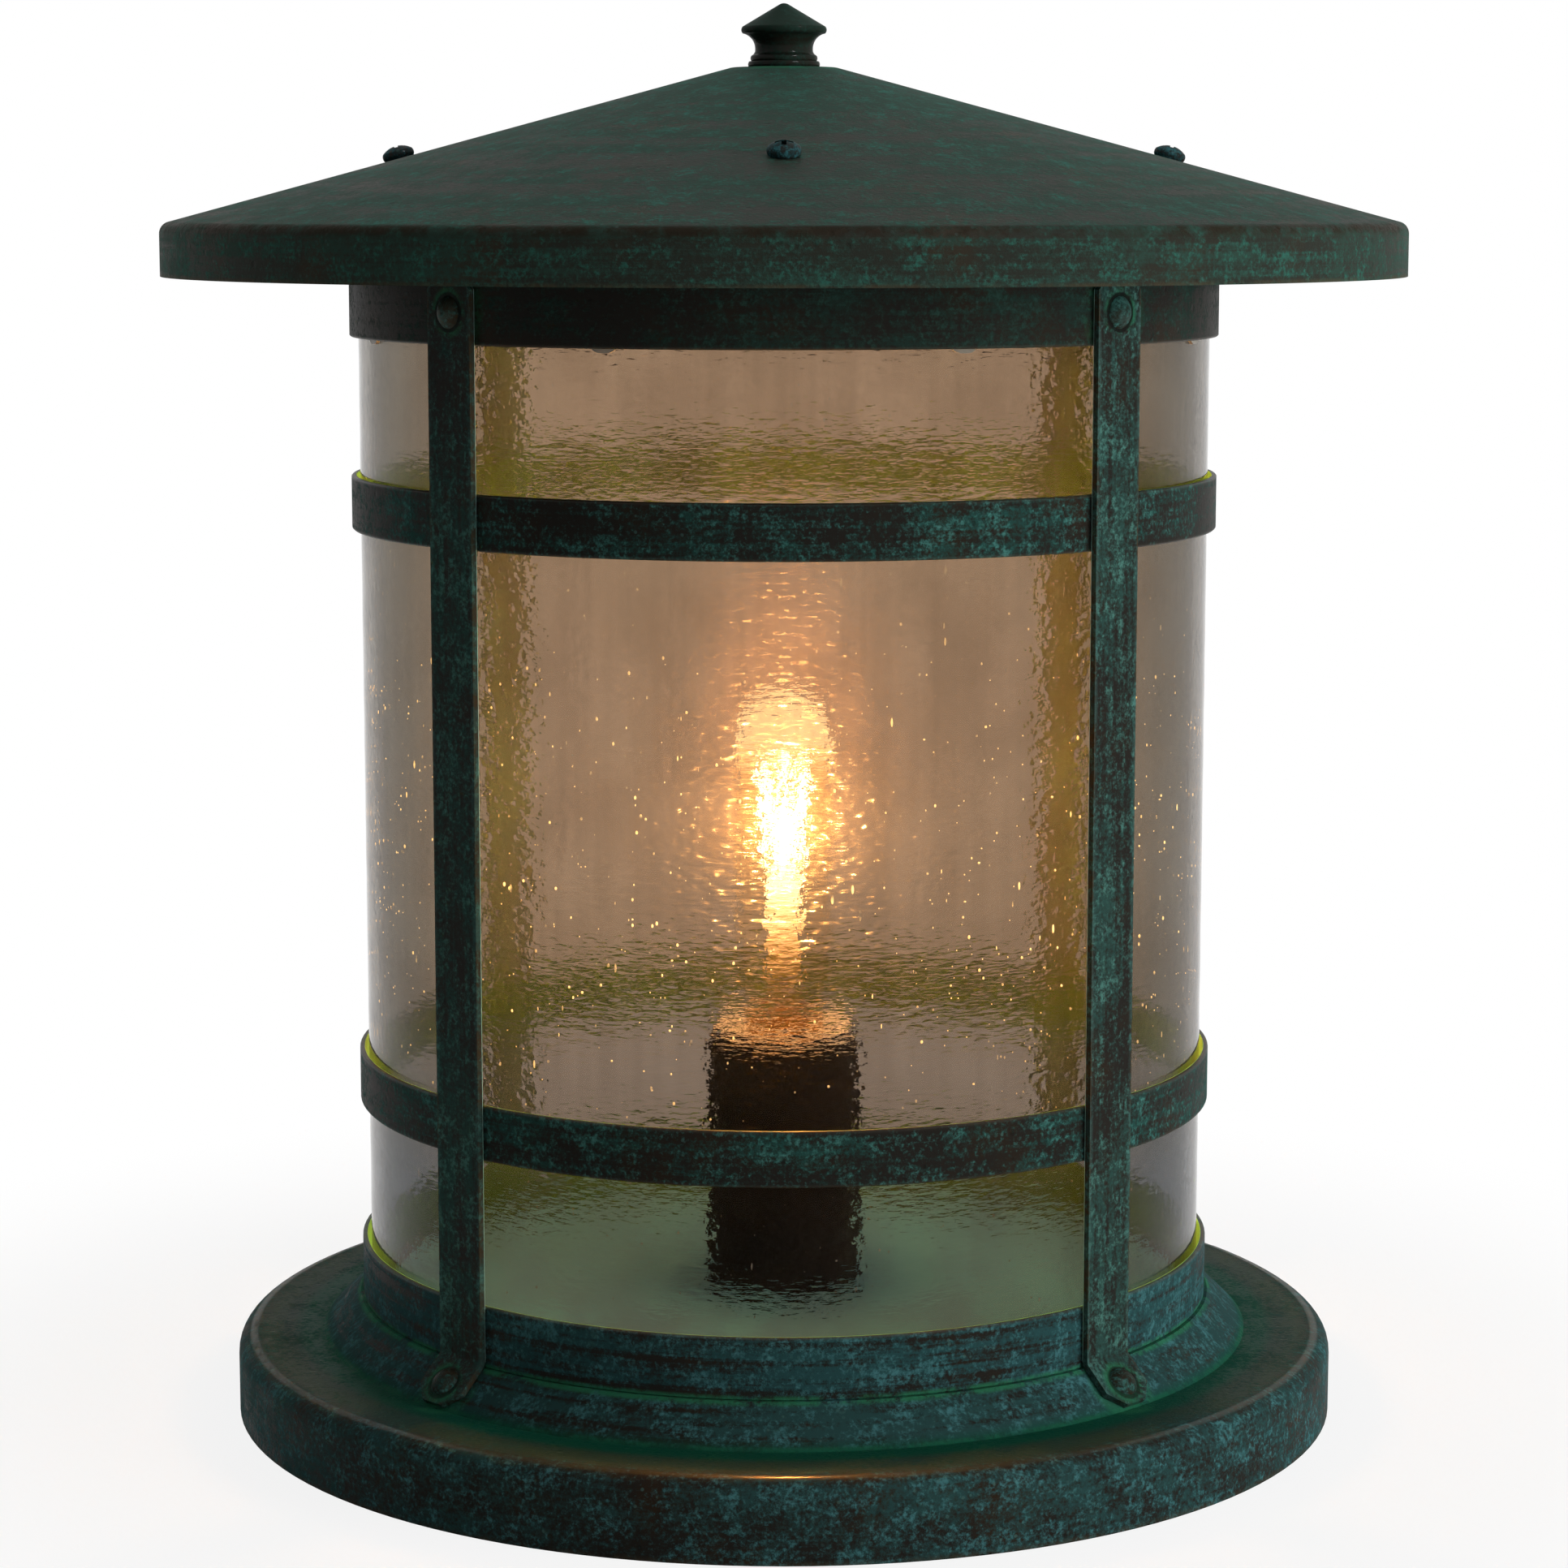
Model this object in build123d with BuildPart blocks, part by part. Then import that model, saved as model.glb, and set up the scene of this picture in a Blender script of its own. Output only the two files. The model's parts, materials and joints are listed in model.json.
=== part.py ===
from build123d import *
import os
from math import asin, cos, hypot, radians, sin, sqrt, tan

# Round column-mount lantern: a spun base and a riveted strap cage that hold a glass cylinder,
# a cone roof that lifts off, and a screw-in lamp. Millimetres, +Z up.
# The origin is the centre of the face that stands on the column, and the front is -Y.

# Sheet and strip thicknesses
base_sheet = 2.0
roof_sheet = 1.6
hoop_stock = 1.6
strap_stock = 2.0
bracket_stock = 1.6
cup_sheet = 1.2

# Clearances
lift_gap = 0.3
seat_gap = 0.15
fixed_gap = 0.1
hole_gap = 0.15
thread_gap = 0.05

# Base
base_radius = 184.5
base_rim_height = 26.0
base_rim_round = 6.5
step_width = 12.5
step_height = 12.0
step_lip_width = 1.0

# Cage of ring, hoops and band, with heights above the base floor
cage_radius = 142.5
gallery_height = 19.7
hoop_height = 17.4
lower_hoop_lift = 66.8
upper_hoop_lift = 257.5
cage_height = 370.7
band_height = 50.6
edge_ease = 0.4

# Straps and their rivets
strap_width = 19.6
strap_bend_radius = 2.0
strap_foot_length = 16.4
strap_corner_length = 5.5
strap_above_rivet = 12.5
band_rivet_lift = 10.0
foot_rivet_distance = 8.6
rivet_head_radius = 5.0
rivet_head_height = 2.6
rivet_shank_radius = 2.4
rivet_tail_radius = 3.6
rivet_tail_height = 0.9

# Glass
glass_gap = 1.3
glass_wall = 3.2
glass_in_band = 12.0
glass_edge_round = 1.2
gasket_height = 2.0
gasket_overhang = 0.8
pad_count = 8
pad_width = 10.0
pad_height = 12.0
pad_round = 4.0
pad_show = 1.3

# Roof
roof_radius = 203.0
roof_pitch = 15.2
roof_skirt_height = 16.6
roof_corner_round = 4.0
roof_top_radius = 17.2
roof_top_round = 3.0

# Roof screws, nuts and brackets
screw_head_radius = 5.25
screw_head_edge = 0.45
screw_head_side = 2.6
screw_head_height = 4.3
screw_shank_radius = 2.75
screw_end = 1.2
recess_width = 1.5
recess_length = 5.6
recess_depth = 1.9
screw_nut_flats = 11.0
screw_nut_height = 4.0
bracket_width = 16.0
bracket_flange = 22.0
bracket_hole_inset = 14.4
bracket_drop = 28.0
bracket_bend = 1.6

# Finial, with heights above the roof's flat top
finial_height = 20.7
finial_bead_radius = 11.75
finial_bead_height = 2.0
finial_collar_radius = 10.95
finial_collar_height = 1.9
finial_groove = 0.35
finial_flare_height = 1.7
finial_neck_radius = 9.45
finial_neck_height = 0.5
finial_rim_radius = 13.95
finial_rim_low = 11.0
finial_rim_height = 2.2
finial_rim_bulge = 0.45
finial_tip_radius = 1.5
finial_tip_height = 0.4
stud_radius = 3.1
stud_in_finial = 9.0
stud_below_nut = 2.0
finial_hole_spare = 1.5
washer_sheet = 1.2
finial_washer_radius = 8.0
finial_nut_flats = 11.1
finial_nut_height = 5.5

# Socket, with the cup standing on the base floor
cup_radius = 25.5
cup_height = 86.0
cup_round = 1.5
socket_radius = 20.6
socket_flange_radius = 23.4
socket_flange_height = 2.2
socket_depth = 48.0
socket_floor = 19.0
socket_shell_wall = 0.5
socket_shell_recess = 1.5
socket_contact_radius = 5.0
socket_contact_height = 1.2
socket_cap_sheet = 1.6
socket_cap_radius = 18.0
socket_bush_radius = 9.0
socket_bush_height = 9.0
socket_screw_ring_radius = 13.0
socket_screw_radius = 1.9
socket_screw_length = 9.0
socket_screw_head_radius = 3.6
socket_screw_head_height = 2.4

# Threaded nipple and what it clamps
nipple_radius = 5.1
nipple_bore_radius = 3.4
nipple_from_ground = 0.5
nipple_short_of_socket = 1.0
locknut_flats = 15.9
locknut_height = 4.0
nipple_washer_radius = 11.0

# Crossbar that is screwed to the box in the column
crossbar_end = 3.55
crossbar_width = 25.4
crossbar_sheet = 3.0
crossbar_slot_spacing = 88.9
crossbar_slot_length = 12.0
crossbar_slot_width = 5.2
ground_screw_offset = 26.0
ground_screw_radius = 2.1
ground_screw_head_radius = 5.0
ground_screw_head_height = 3.6
slot_width = 1.4
slot_depth = 1.7

# Lamp
lamp_radius = 16.2
lamp_length = 141.0
lamp_glass = 0.8
lamp_neck_radius = 11.9
lamp_neck_height = 7.0
lamp_shoulder_height = 12.0
lamp_shell_radius = 13.05
lamp_shell_wall = 0.9
lamp_shell_height = 23.0
lamp_thread_pitch = 3.63
lamp_thread_depth = 0.5
lamp_thread_count = 5
lamp_insulator_height = 3.6
lamp_contact_radius = 4.6
lamp_contact_height = 2.0
lamp_stem_radius = 5.8
lamp_stem_flare = 10.6
lamp_stem_flare_height = 9.0
lamp_stem_top = 70.0
lamp_press_width = 4.0
lamp_press_height = 9.0
lamp_arbor_radius = 1.3
lamp_arbor_top = 119.0
lamp_button_radius = 2.2
lamp_button_height = 3.0
lamp_hook_radius = 0.35
lamp_lead_radius = 0.45
filament_ring_radius = 7.6
filament_low = 84.0
filament_high = 116.0
filament_wire_radius = 0.5
filament_loops = 7

# Levels and radii that follow from those
floor_level = base_rim_height + step_height
step_top_radius = cage_radius + step_lip_width
step_foot_radius = step_top_radius + step_width
band_top = floor_level + cage_height
band_bottom = band_top - band_height
ring_inner_radius = cage_radius - hoop_stock
glass_radius = ring_inner_radius - glass_gap
glass_bottom = floor_level + gasket_height
glass_top = band_bottom + glass_in_band
roof_slope = tan(radians(roof_pitch))
roof_drop = roof_sheet / cos(radians(roof_pitch))
cup_top = floor_level + cup_height
socket_top = cup_top + socket_flange_height
socket_bottom = socket_top - socket_depth
socket_bore_radius = lamp_shell_radius + lift_gap + socket_shell_wall + fixed_gap
socket_contact_level = socket_bottom + socket_floor
lamp_bottom = socket_contact_level + socket_contact_height + lift_gap
lamp_shell_bottom = lamp_bottom + lamp_contact_height + lamp_insulator_height + fixed_gap
lamp_shell_top = lamp_shell_bottom + lamp_shell_height
lamp_glass_bottom = lamp_shell_top - lamp_neck_height
lamp_top = lamp_bottom + lamp_length
nipple_top = socket_bottom - socket_cap_sheet - nipple_short_of_socket
nipple_hole_radius = nipple_radius + hole_gap
crossbar_top = crossbar_sheet
crossbar_length = crossbar_slot_spacing + crossbar_slot_length + 2 * crossbar_end
leg_face = sqrt(ring_inner_radius**2 - (bracket_width / 2) ** 2) - lift_gap
screw_ring_radius = leg_face - bracket_hole_inset
rivet_hole_radius = rivet_shank_radius + hole_gap

os.makedirs("parts", exist_ok=True)


def roof_level(radius):
    """Height of the roof's outer surface at a distance from the axis."""
    return band_top + lift_gap + roof_drop + (cage_radius - radius) * roof_slope


def roof_plane(azimuth, depth=0.0):
    """Plane on the roof slope at a screw, a depth below the outer surface, with Z out of the roof."""
    tilt = radians(roof_pitch)
    turn = radians(azimuth)
    outward = Vector(sin(tilt) * cos(turn), sin(tilt) * sin(turn), cos(tilt))
    level = roof_level(screw_ring_radius)
    place = Vector(screw_ring_radius * cos(turn), screw_ring_radius * sin(turn), level)
    return Plane(origin=place - outward * depth, x_dir=(-sin(turn), cos(turn), 0), z_dir=outward)


def sheet_outline(path, thickness):
    """Closed outline of a bent sheet: the path, and its mitred copy a thickness to the right of it."""
    points = [Vector(*point) for point in path]
    runs = [(end - start).normalized() for start, end in zip(points, points[1:])]
    normals = [Vector(run.Y, -run.X) for run in runs]
    copy = []
    for point, before, after in zip(points, normals[:1] + normals, normals + normals[-1:]):
        copy.append(point + (before + after) * (thickness / (1 + before.dot(after))))
    return points + copy[::-1]


def corner(sketch, point):
    """The corner of a sketch that lies nearest to a point."""
    return sketch.vertices().sort_by_distance(point)[0]


def save(piece, name):
    """Label a finished piece and write it as its own file."""
    piece.label = name
    export_step(piece, f"parts/{name}.step")


def ring(inner_radius, outer_radius, bottom, height, ease=0.0):
    """A plain upright ring, with its outer edges eased."""
    with BuildPart() as body:
        with BuildSketch(Plane.XY.offset(bottom)):
            Circle(outer_radius)
            Circle(inner_radius, mode=Mode.SUBTRACT)
        extrude(amount=height)
        if ease > 0:
            rims = body.edges().filter_by(GeomType.CIRCLE)
            chamfer(rims.filter_by(lambda edge: edge.radius > (inner_radius + outer_radius) / 2), length=ease)
    return body.part


def hex_nut(flats, height, bore_radius):
    """A hexagon nut that stands on the XY plane."""
    with BuildPart() as body:
        with BuildSketch():
            RegularPolygon(flats / 2, 6, major_radius=False)
            Circle(bore_radius, mode=Mode.SUBTRACT)
        extrude(amount=height)
    return body.part


def dome_middle(radius, height):
    """Point halfway along the arc of a spherical dome that rises a height over a radius."""
    sphere = (radius**2 + height**2) / (2 * height)
    half_angle = asin(min(radius / sphere, 1)) / 2
    return Vector(sphere * sin(half_angle), height - sphere + sphere * cos(half_angle))


def pan_screw(shank_length):
    """A pan-head screw with a cross recess, its head above the XY plane and its shank below."""
    root = screw_head_radius - screw_head_edge
    crown = screw_head_height - screw_head_side
    with BuildPart() as body:
        with BuildSketch(Plane.XZ):
            with BuildLine():
                ThreePointArc((root, 0), (screw_head_radius, screw_head_side / 2), (root, screw_head_side))
                ThreePointArc(
                    (root, screw_head_side),
                    dome_middle(root, crown) + Vector(0, screw_head_side),
                    (0, screw_head_height),
                )
                Line((0, screw_head_height), (0, -shank_length))
                Line((0, -shank_length), (screw_shank_radius, -shank_length))
                Line((screw_shank_radius, -shank_length), (screw_shank_radius, 0))
                Line((screw_shank_radius, 0), (root, 0))
            make_face()
        revolve(axis=Axis.Z)
        with BuildSketch(Plane.XY.offset(screw_head_height)):
            Rectangle(recess_length, recess_width)
            Rectangle(recess_width, recess_length)
        extrude(amount=-recess_depth, mode=Mode.SUBTRACT)
    return body.part


def dome_screw(head_radius, head_height, shank_radius, shank_length, slotted):
    """A round-head screw with its head above the XY plane and its shank below."""
    with BuildPart() as body:
        with BuildSketch(Plane.XZ):
            with BuildLine():
                ThreePointArc((head_radius, 0), dome_middle(head_radius, head_height), (0, head_height))
                Line((0, head_height), (0, -shank_length))
                Line((0, -shank_length), (shank_radius, -shank_length))
                Line((shank_radius, -shank_length), (shank_radius, 0))
                Line((shank_radius, 0), (head_radius, 0))
            make_face()
        revolve(axis=Axis.Z)
        if slotted:
            with BuildSketch(Plane.XY.offset(head_height)):
                Rectangle(2 * head_radius, slot_width)
            extrude(amount=-slot_depth, mode=Mode.SUBTRACT)
    return body.part


def rivet(grip):
    """A domed rivet with its head above the XY plane and its flat tail below the grip."""
    with BuildPart() as body:
        add(dome_screw(rivet_head_radius, rivet_head_height, rivet_shank_radius, grip, False))
        with BuildSketch(Plane.XY.offset(-grip)):
            Circle(rivet_tail_radius)
        extrude(amount=-rivet_tail_height)
    return body.part


def placed(piece, places):
    """Copies of one piece at several places, as separate solids in one group."""
    with BuildPart() as group:
        with Locations(*places):
            add(piece)
    return group.part


def radial_plane(azimuth, radius, level):
    """Plane at a distance from the axis, with Z pointing straight out."""
    turn = radians(azimuth)
    outward = Vector(cos(turn), sin(turn), 0)
    place = outward * radius + Vector(0, 0, level)
    return Plane(origin=place, x_dir=(-sin(turn), cos(turn), 0), z_dir=outward)


def foot_plane(azimuth, lift):
    """Plane over the rivet on the base step, a lift above the step, with Z out of the step."""
    slant = hypot(step_width, step_height)
    reach = foot_rivet_distance / slant
    out = step_top_radius + step_width * reach + lift * step_height / slant
    level = floor_level - step_height * reach + lift * step_width / slant
    turn = radians(azimuth)
    outward = (step_height / slant * cos(turn), step_height / slant * sin(turn), step_width / slant)
    place = (out * cos(turn), out * sin(turn), level)
    return Plane(origin=place, x_dir=(-sin(turn), cos(turn), 0), z_dir=outward)


strap_azimuths = {
    "strap_front_right": -45,
    "strap_back_right": 45,
    "strap_back_left": 135,
    "strap_front_left": -135,
}
bracket_azimuths = {
    "roof_bracket_front": -90,
    "roof_bracket_right": 0,
    "roof_bracket_back": 90,
    "roof_bracket_left": 180,
}

# Base: rim, shoulder, conical step and floor in one spun sheet
with BuildPart() as base_pan:
    with BuildSketch(Plane.XZ) as base_section:
        base_path = [
            (nipple_hole_radius, floor_level),
            (step_top_radius, floor_level),
            (step_foot_radius, base_rim_height),
            (base_radius, base_rim_height),
            (base_radius, 0),
        ]
        with BuildLine():
            Polyline(*sheet_outline(base_path, base_sheet), close=True)
        make_face()
        fillet(corner(base_section, (base_radius, base_rim_height)), radius=base_rim_round)
        inner_corner = (base_radius - base_sheet, base_rim_height - base_sheet)
        fillet(corner(base_section, inner_corner), radius=base_rim_round - base_sheet)
    revolve(axis=Axis.Z)
    with Locations(*[foot_plane(azimuth, base_sheet) for azimuth in strap_azimuths.values()]):
        Hole(rivet_hole_radius, depth=3 * base_sheet)
save(base_pan.part, "base_pan")


def cage_ring(bottom, height):
    """A rolled strip of the cage, standing at a level."""
    return ring(ring_inner_radius, cage_radius, bottom, height, edge_ease)


# Gallery ring, hoops and the wide band under the roof
save(cage_ring(floor_level, gallery_height), "gallery_ring")
save(cage_ring(floor_level + lower_hoop_lift, hoop_height), "hoop_lower")
save(cage_ring(floor_level + upper_hoop_lift, hoop_height), "hoop_upper")

band_rivet_level = band_bottom + band_rivet_lift
band_hole_planes = [
    radial_plane(azimuth, cage_radius, band_rivet_level) for azimuth in strap_azimuths.values()
]
with BuildPart() as upper_band:
    add(cage_ring(band_bottom, band_height))
    with Locations(*band_hole_planes):
        Hole(rivet_hole_radius, depth=2 * hoop_stock)
save(upper_band.part, "upper_band")

# Straps: flat strip outside the hoops, bent out onto the base step, with cut corners
strap_face = cage_radius + fixed_gap
step_slant = hypot(step_width, step_height)
foot_run = Vector(step_width / step_slant, -step_height / step_slant)
foot_out = Vector(step_height / step_slant, step_width / step_slant)
step_line_start = Vector(step_top_radius, floor_level) + foot_out * fixed_gap
strap_bend_point = step_line_start + foot_run * ((strap_face - step_line_start.X) / foot_run.X)
strap_foot_end = step_line_start + foot_run * strap_foot_length
strap_path = [
    (strap_foot_end.X, strap_foot_end.Y),
    (strap_bend_point.X, strap_bend_point.Y),
    (strap_face, band_rivet_level + strap_above_rivet),
]
with BuildPart() as strap:
    with BuildSketch(Plane.XZ) as strap_section:
        strap_outline = sheet_outline(strap_path, strap_stock)
        with BuildLine():
            Polyline(*strap_outline, close=True)
        make_face()
        fillet(corner(strap_section, strap_outline[1]), radius=strap_bend_radius + strap_stock)
        fillet(corner(strap_section, strap_outline[-2]), radius=strap_bend_radius)
    extrude(amount=strap_width / 2, both=True)
    foot_axis = Axis((0, 0, 0), (foot_run.X, 0, foot_run.Y))
    strap_ends = [strap.faces().sort_by(Axis.Z)[-1], strap.faces().sort_by(foot_axis)[-1]]
    end_corners = [edge for face in strap_ends for edge in face.edges().filter_by(Axis.Y, reverse=True)]
    chamfer(end_corners, length=strap_corner_length)
    with Locations(radial_plane(0, strap_face + strap_stock, band_rivet_level)):
        Hole(rivet_hole_radius, depth=2 * strap_stock)
    with Locations(foot_plane(0, strap_stock + fixed_gap)):
        Hole(rivet_hole_radius, depth=2 * strap_stock)
for name, azimuth in strap_azimuths.items():
    save(placed(strap.part, [Location((0, 0, 0), (0, 0, azimuth))]), name)

# The tails sit flat, so they keep clear of the band's inward curve
tail_sag = ring_inner_radius - sqrt(ring_inner_radius**2 - rivet_tail_radius**2)
head_lift = strap_stock + 2 * fixed_gap
band_rivet = rivet(head_lift + hoop_stock + tail_sag + fixed_gap)
band_rivet_planes = [
    radial_plane(azimuth, cage_radius + head_lift, band_rivet_level) for azimuth in strap_azimuths.values()
]
save(placed(band_rivet, band_rivet_planes), "strap_top_rivets")
foot_sag = step_top_radius - sqrt(step_top_radius**2 - rivet_tail_radius**2)
foot_rivet = rivet(head_lift + base_sheet + foot_sag + fixed_gap)
foot_rivet_planes = [foot_plane(azimuth, head_lift) for azimuth in strap_azimuths.values()]
save(placed(foot_rivet, foot_rivet_planes), "strap_foot_rivets")

# Glass on its gasket, with small pads between it and the band
with BuildPart() as glass_cylinder:
    add(ring(glass_radius - glass_wall, glass_radius, glass_bottom, glass_top - glass_bottom))
    fillet(glass_cylinder.edges().filter_by(GeomType.CIRCLE), radius=glass_edge_round)
save(glass_cylinder.part, "glass_cylinder")

gasket_inner_radius = glass_radius - glass_wall - gasket_overhang
save(ring(gasket_inner_radius, glass_radius + gasket_overhang, floor_level, gasket_height), "glass_gasket")

pad_bottom = band_bottom - pad_show
with BuildPart() as glass_pad:
    with BuildSketch(Plane.XY.offset(pad_bottom)):
        Circle(ring_inner_radius - fixed_gap)
        Circle(glass_radius + fixed_gap, mode=Mode.SUBTRACT)
    extrude(amount=pad_height)
    with BuildSketch(Plane.YZ):
        with Locations((0, pad_bottom + pad_height / 2)):
            RectangleRounded(pad_width, pad_height, pad_round)
    extrude(amount=cage_radius, mode=Mode.INTERSECT)
pad_pitch = 360 / pad_count
pad_places = [Location((0, 0, 0), (0, 0, (index + 0.5) * pad_pitch)) for index in range(pad_count)]
save(placed(glass_pad.part, pad_places), "glass_pads")

# Roof: a cone with a short upright skirt and a small flat top
roof_top_level = roof_level(roof_top_radius)
roof_corner_level = roof_level(roof_radius)
with BuildPart() as roof:
    with BuildSketch(Plane.XZ) as roof_section:
        roof_path = [
            (stud_radius + hole_gap, roof_top_level),
            (roof_top_radius, roof_top_level),
            (roof_radius, roof_corner_level),
            (roof_radius, roof_corner_level - roof_skirt_height),
        ]
        roof_outline = sheet_outline(roof_path, roof_sheet)
        with BuildLine():
            Polyline(*roof_outline, close=True)
        make_face()
        fillet(corner(roof_section, roof_outline[2]), radius=roof_corner_round)
        fillet(corner(roof_section, roof_outline[-3]), radius=roof_corner_round - roof_sheet)
        fillet(corner(roof_section, roof_outline[1]), radius=roof_top_round + roof_sheet)
        fillet(corner(roof_section, roof_outline[-2]), radius=roof_top_round)
    revolve(axis=Axis.Z)
    with Locations(*[roof_plane(azimuth, -roof_sheet) for azimuth in bracket_azimuths.values()]):
        Hole(screw_shank_radius + hole_gap, depth=4 * roof_sheet)
save(roof.part, "roof")

# Roof brackets: a flange under the roof and a leg that drops inside the band
flange_depth = (roof_sheet + seat_gap) / cos(radians(roof_pitch))
flange_start = leg_face - bracket_flange
with BuildPart() as roof_bracket:
    with BuildSketch(Plane.XZ) as bracket_section:
        bracket_path = [
            (flange_start, roof_level(flange_start) - flange_depth),
            (leg_face, roof_level(leg_face) - flange_depth),
            (leg_face, band_top - bracket_drop),
        ]
        bracket_outline = sheet_outline(bracket_path, bracket_stock)
        with BuildLine():
            Polyline(*bracket_outline, close=True)
        make_face()
        fillet(corner(bracket_section, bracket_outline[1]), radius=bracket_bend + bracket_stock)
        fillet(corner(bracket_section, bracket_outline[-2]), radius=bracket_bend)
    extrude(amount=bracket_width / 2, both=True)
    with Locations(roof_plane(0)):
        Hole(screw_shank_radius + hole_gap, depth=4 * bracket_stock)
for name, azimuth in bracket_azimuths.items():
    save(placed(roof_bracket.part, [Location((0, 0, 0), (0, 0, azimuth))]), name)

# Roof screws and the nuts under the brackets
nut_depth = roof_sheet + seat_gap + bracket_stock + fixed_gap + screw_nut_height
screw_length = nut_depth + screw_end
roof_screw = pan_screw(screw_length)
screw_planes = [roof_plane(azimuth, -seat_gap) for azimuth in bracket_azimuths.values()]
save(placed(roof_screw, screw_planes), "roof_screws")
screw_nut = hex_nut(screw_nut_flats, screw_nut_height, screw_shank_radius + thread_gap)
nut_planes = [roof_plane(azimuth, nut_depth) for azimuth in bracket_azimuths.values()]
save(placed(screw_nut, nut_planes), "roof_screw_nuts")

# Finial: bead, collar, coved neck, flared rim and a pointed cap, turned from bar
finial_collar_top = finial_bead_height + finial_collar_height
finial_neck_low = finial_collar_top + finial_flare_height
finial_neck_top = finial_neck_low + finial_neck_height
finial_rim_top = finial_rim_low + finial_rim_height
finial_rim_edge = finial_rim_radius - finial_rim_bulge
bead_root = finial_bead_radius - finial_groove
collar_root = finial_collar_radius - finial_groove
finial_tip_low = finial_height - finial_tip_height
with BuildPart() as finial:
    with BuildSketch(Plane((0, 0, roof_top_level), x_dir=(1, 0, 0), z_dir=(0, -1, 0))):
        with BuildLine():
            ThreePointArc(
                (bead_root, 0), (finial_bead_radius, finial_bead_height / 2), (bead_root, finial_bead_height)
            )
            Line((bead_root, finial_bead_height), (collar_root, finial_bead_height))
            ThreePointArc(
                (collar_root, finial_bead_height),
                (finial_collar_radius, finial_bead_height + finial_collar_height / 2),
                (collar_root, finial_collar_top),
            )
            TangentArc(
                (finial_neck_radius, finial_neck_low), (collar_root, finial_collar_top), tangent=(0, -1)
            )
            Line((finial_neck_radius, finial_neck_low), (finial_neck_radius, finial_neck_top))
            TangentArc(
                (finial_neck_radius, finial_neck_top), (finial_rim_edge, finial_rim_low), tangent=(0, 1)
            )
            ThreePointArc(
                (finial_rim_edge, finial_rim_low),
                (finial_rim_radius, finial_rim_low + finial_rim_height / 2),
                (finial_rim_edge, finial_rim_top),
            )
            Line((finial_rim_edge, finial_rim_top), (finial_tip_radius, finial_tip_low))
            ThreePointArc(
                (finial_tip_radius, finial_tip_low),
                dome_middle(finial_tip_radius, finial_tip_height) + Vector(0, finial_tip_low),
                (0, finial_height),
            )
            Line((0, finial_height), (0, 0))
            Line((0, 0), (bead_root, 0))
        make_face()
    revolve(axis=Axis.Z)
    with BuildSketch(Plane.XY.offset(roof_top_level)):
        Circle(stud_radius + thread_gap)
    extrude(amount=stud_in_finial + finial_hole_spare, mode=Mode.SUBTRACT)
save(finial.part, "finial")

finial_washer_top = roof_top_level - roof_sheet
finial_nut_top = finial_washer_top - washer_sheet
finial_nut_bottom = finial_nut_top - finial_nut_height
with BuildPart() as finial_stud:
    with BuildSketch(Plane.XY.offset(finial_nut_bottom - stud_below_nut)):
        Circle(stud_radius)
    extrude(amount=roof_top_level + stud_in_finial - finial_nut_bottom + stud_below_nut)
save(finial_stud.part, "finial_stud")
finial_washer = ring(stud_radius + hole_gap, finial_washer_radius, finial_nut_top, washer_sheet)
save(finial_washer, "finial_washer")
finial_nut = hex_nut(finial_nut_flats, finial_nut_height, stud_radius + thread_gap)
save(placed(finial_nut, [Location((0, 0, finial_nut_bottom))]), "finial_nut")

# Socket cup: a drawn tube with a lip that the socket's flange holds down
with BuildPart() as socket_cup:
    with BuildSketch(Plane.XZ) as cup_section:
        cup_path = [
            (socket_radius + hole_gap, cup_top),
            (cup_radius, cup_top),
            (cup_radius, floor_level),
        ]
        cup_outline = sheet_outline(cup_path, cup_sheet)
        with BuildLine():
            Polyline(*cup_outline, close=True)
        make_face()
        fillet(corner(cup_section, cup_outline[1]), radius=cup_round)
    revolve(axis=Axis.Z)
save(socket_cup.part, "socket_cup")

# Socket: porcelain body, screw shell, centre contact, and the cap that takes the nipple
with BuildPart() as socket_body:
    with BuildSketch(Plane.XY.offset(socket_bottom)):
        Circle(socket_radius)
    extrude(amount=socket_depth)
    with BuildSketch(Plane.XY.offset(cup_top)):
        Circle(socket_flange_radius)
    extrude(amount=socket_flange_height)
    with BuildSketch(Plane.XY.offset(socket_contact_level)):
        Circle(socket_bore_radius)
    extrude(amount=socket_depth, mode=Mode.SUBTRACT)
    with BuildSketch(Plane.XY.offset(socket_bottom)):
        with PolarLocations(socket_screw_ring_radius, 2):
            Circle(socket_screw_radius + thread_gap)
    extrude(amount=socket_screw_length, mode=Mode.SUBTRACT)
    socket_mouth = socket_body.faces().sort_by(Axis.Z)[-1].edges()
    chamfer(socket_mouth, length=edge_ease)
save(socket_body.part, "socket_body")

socket_shell_outer = socket_bore_radius - fixed_gap
socket_shell_height = socket_depth - socket_floor - socket_shell_recess
socket_shell_inner = socket_shell_outer - socket_shell_wall
socket_shell = ring(socket_shell_inner, socket_shell_outer, socket_contact_level, socket_shell_height)
save(socket_shell, "socket_shell")

with BuildPart() as socket_contact:
    with BuildSketch(Plane.XY.offset(socket_contact_level)):
        Circle(socket_contact_radius)
    extrude(amount=socket_contact_height)
save(socket_contact.part, "socket_contact")

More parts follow.
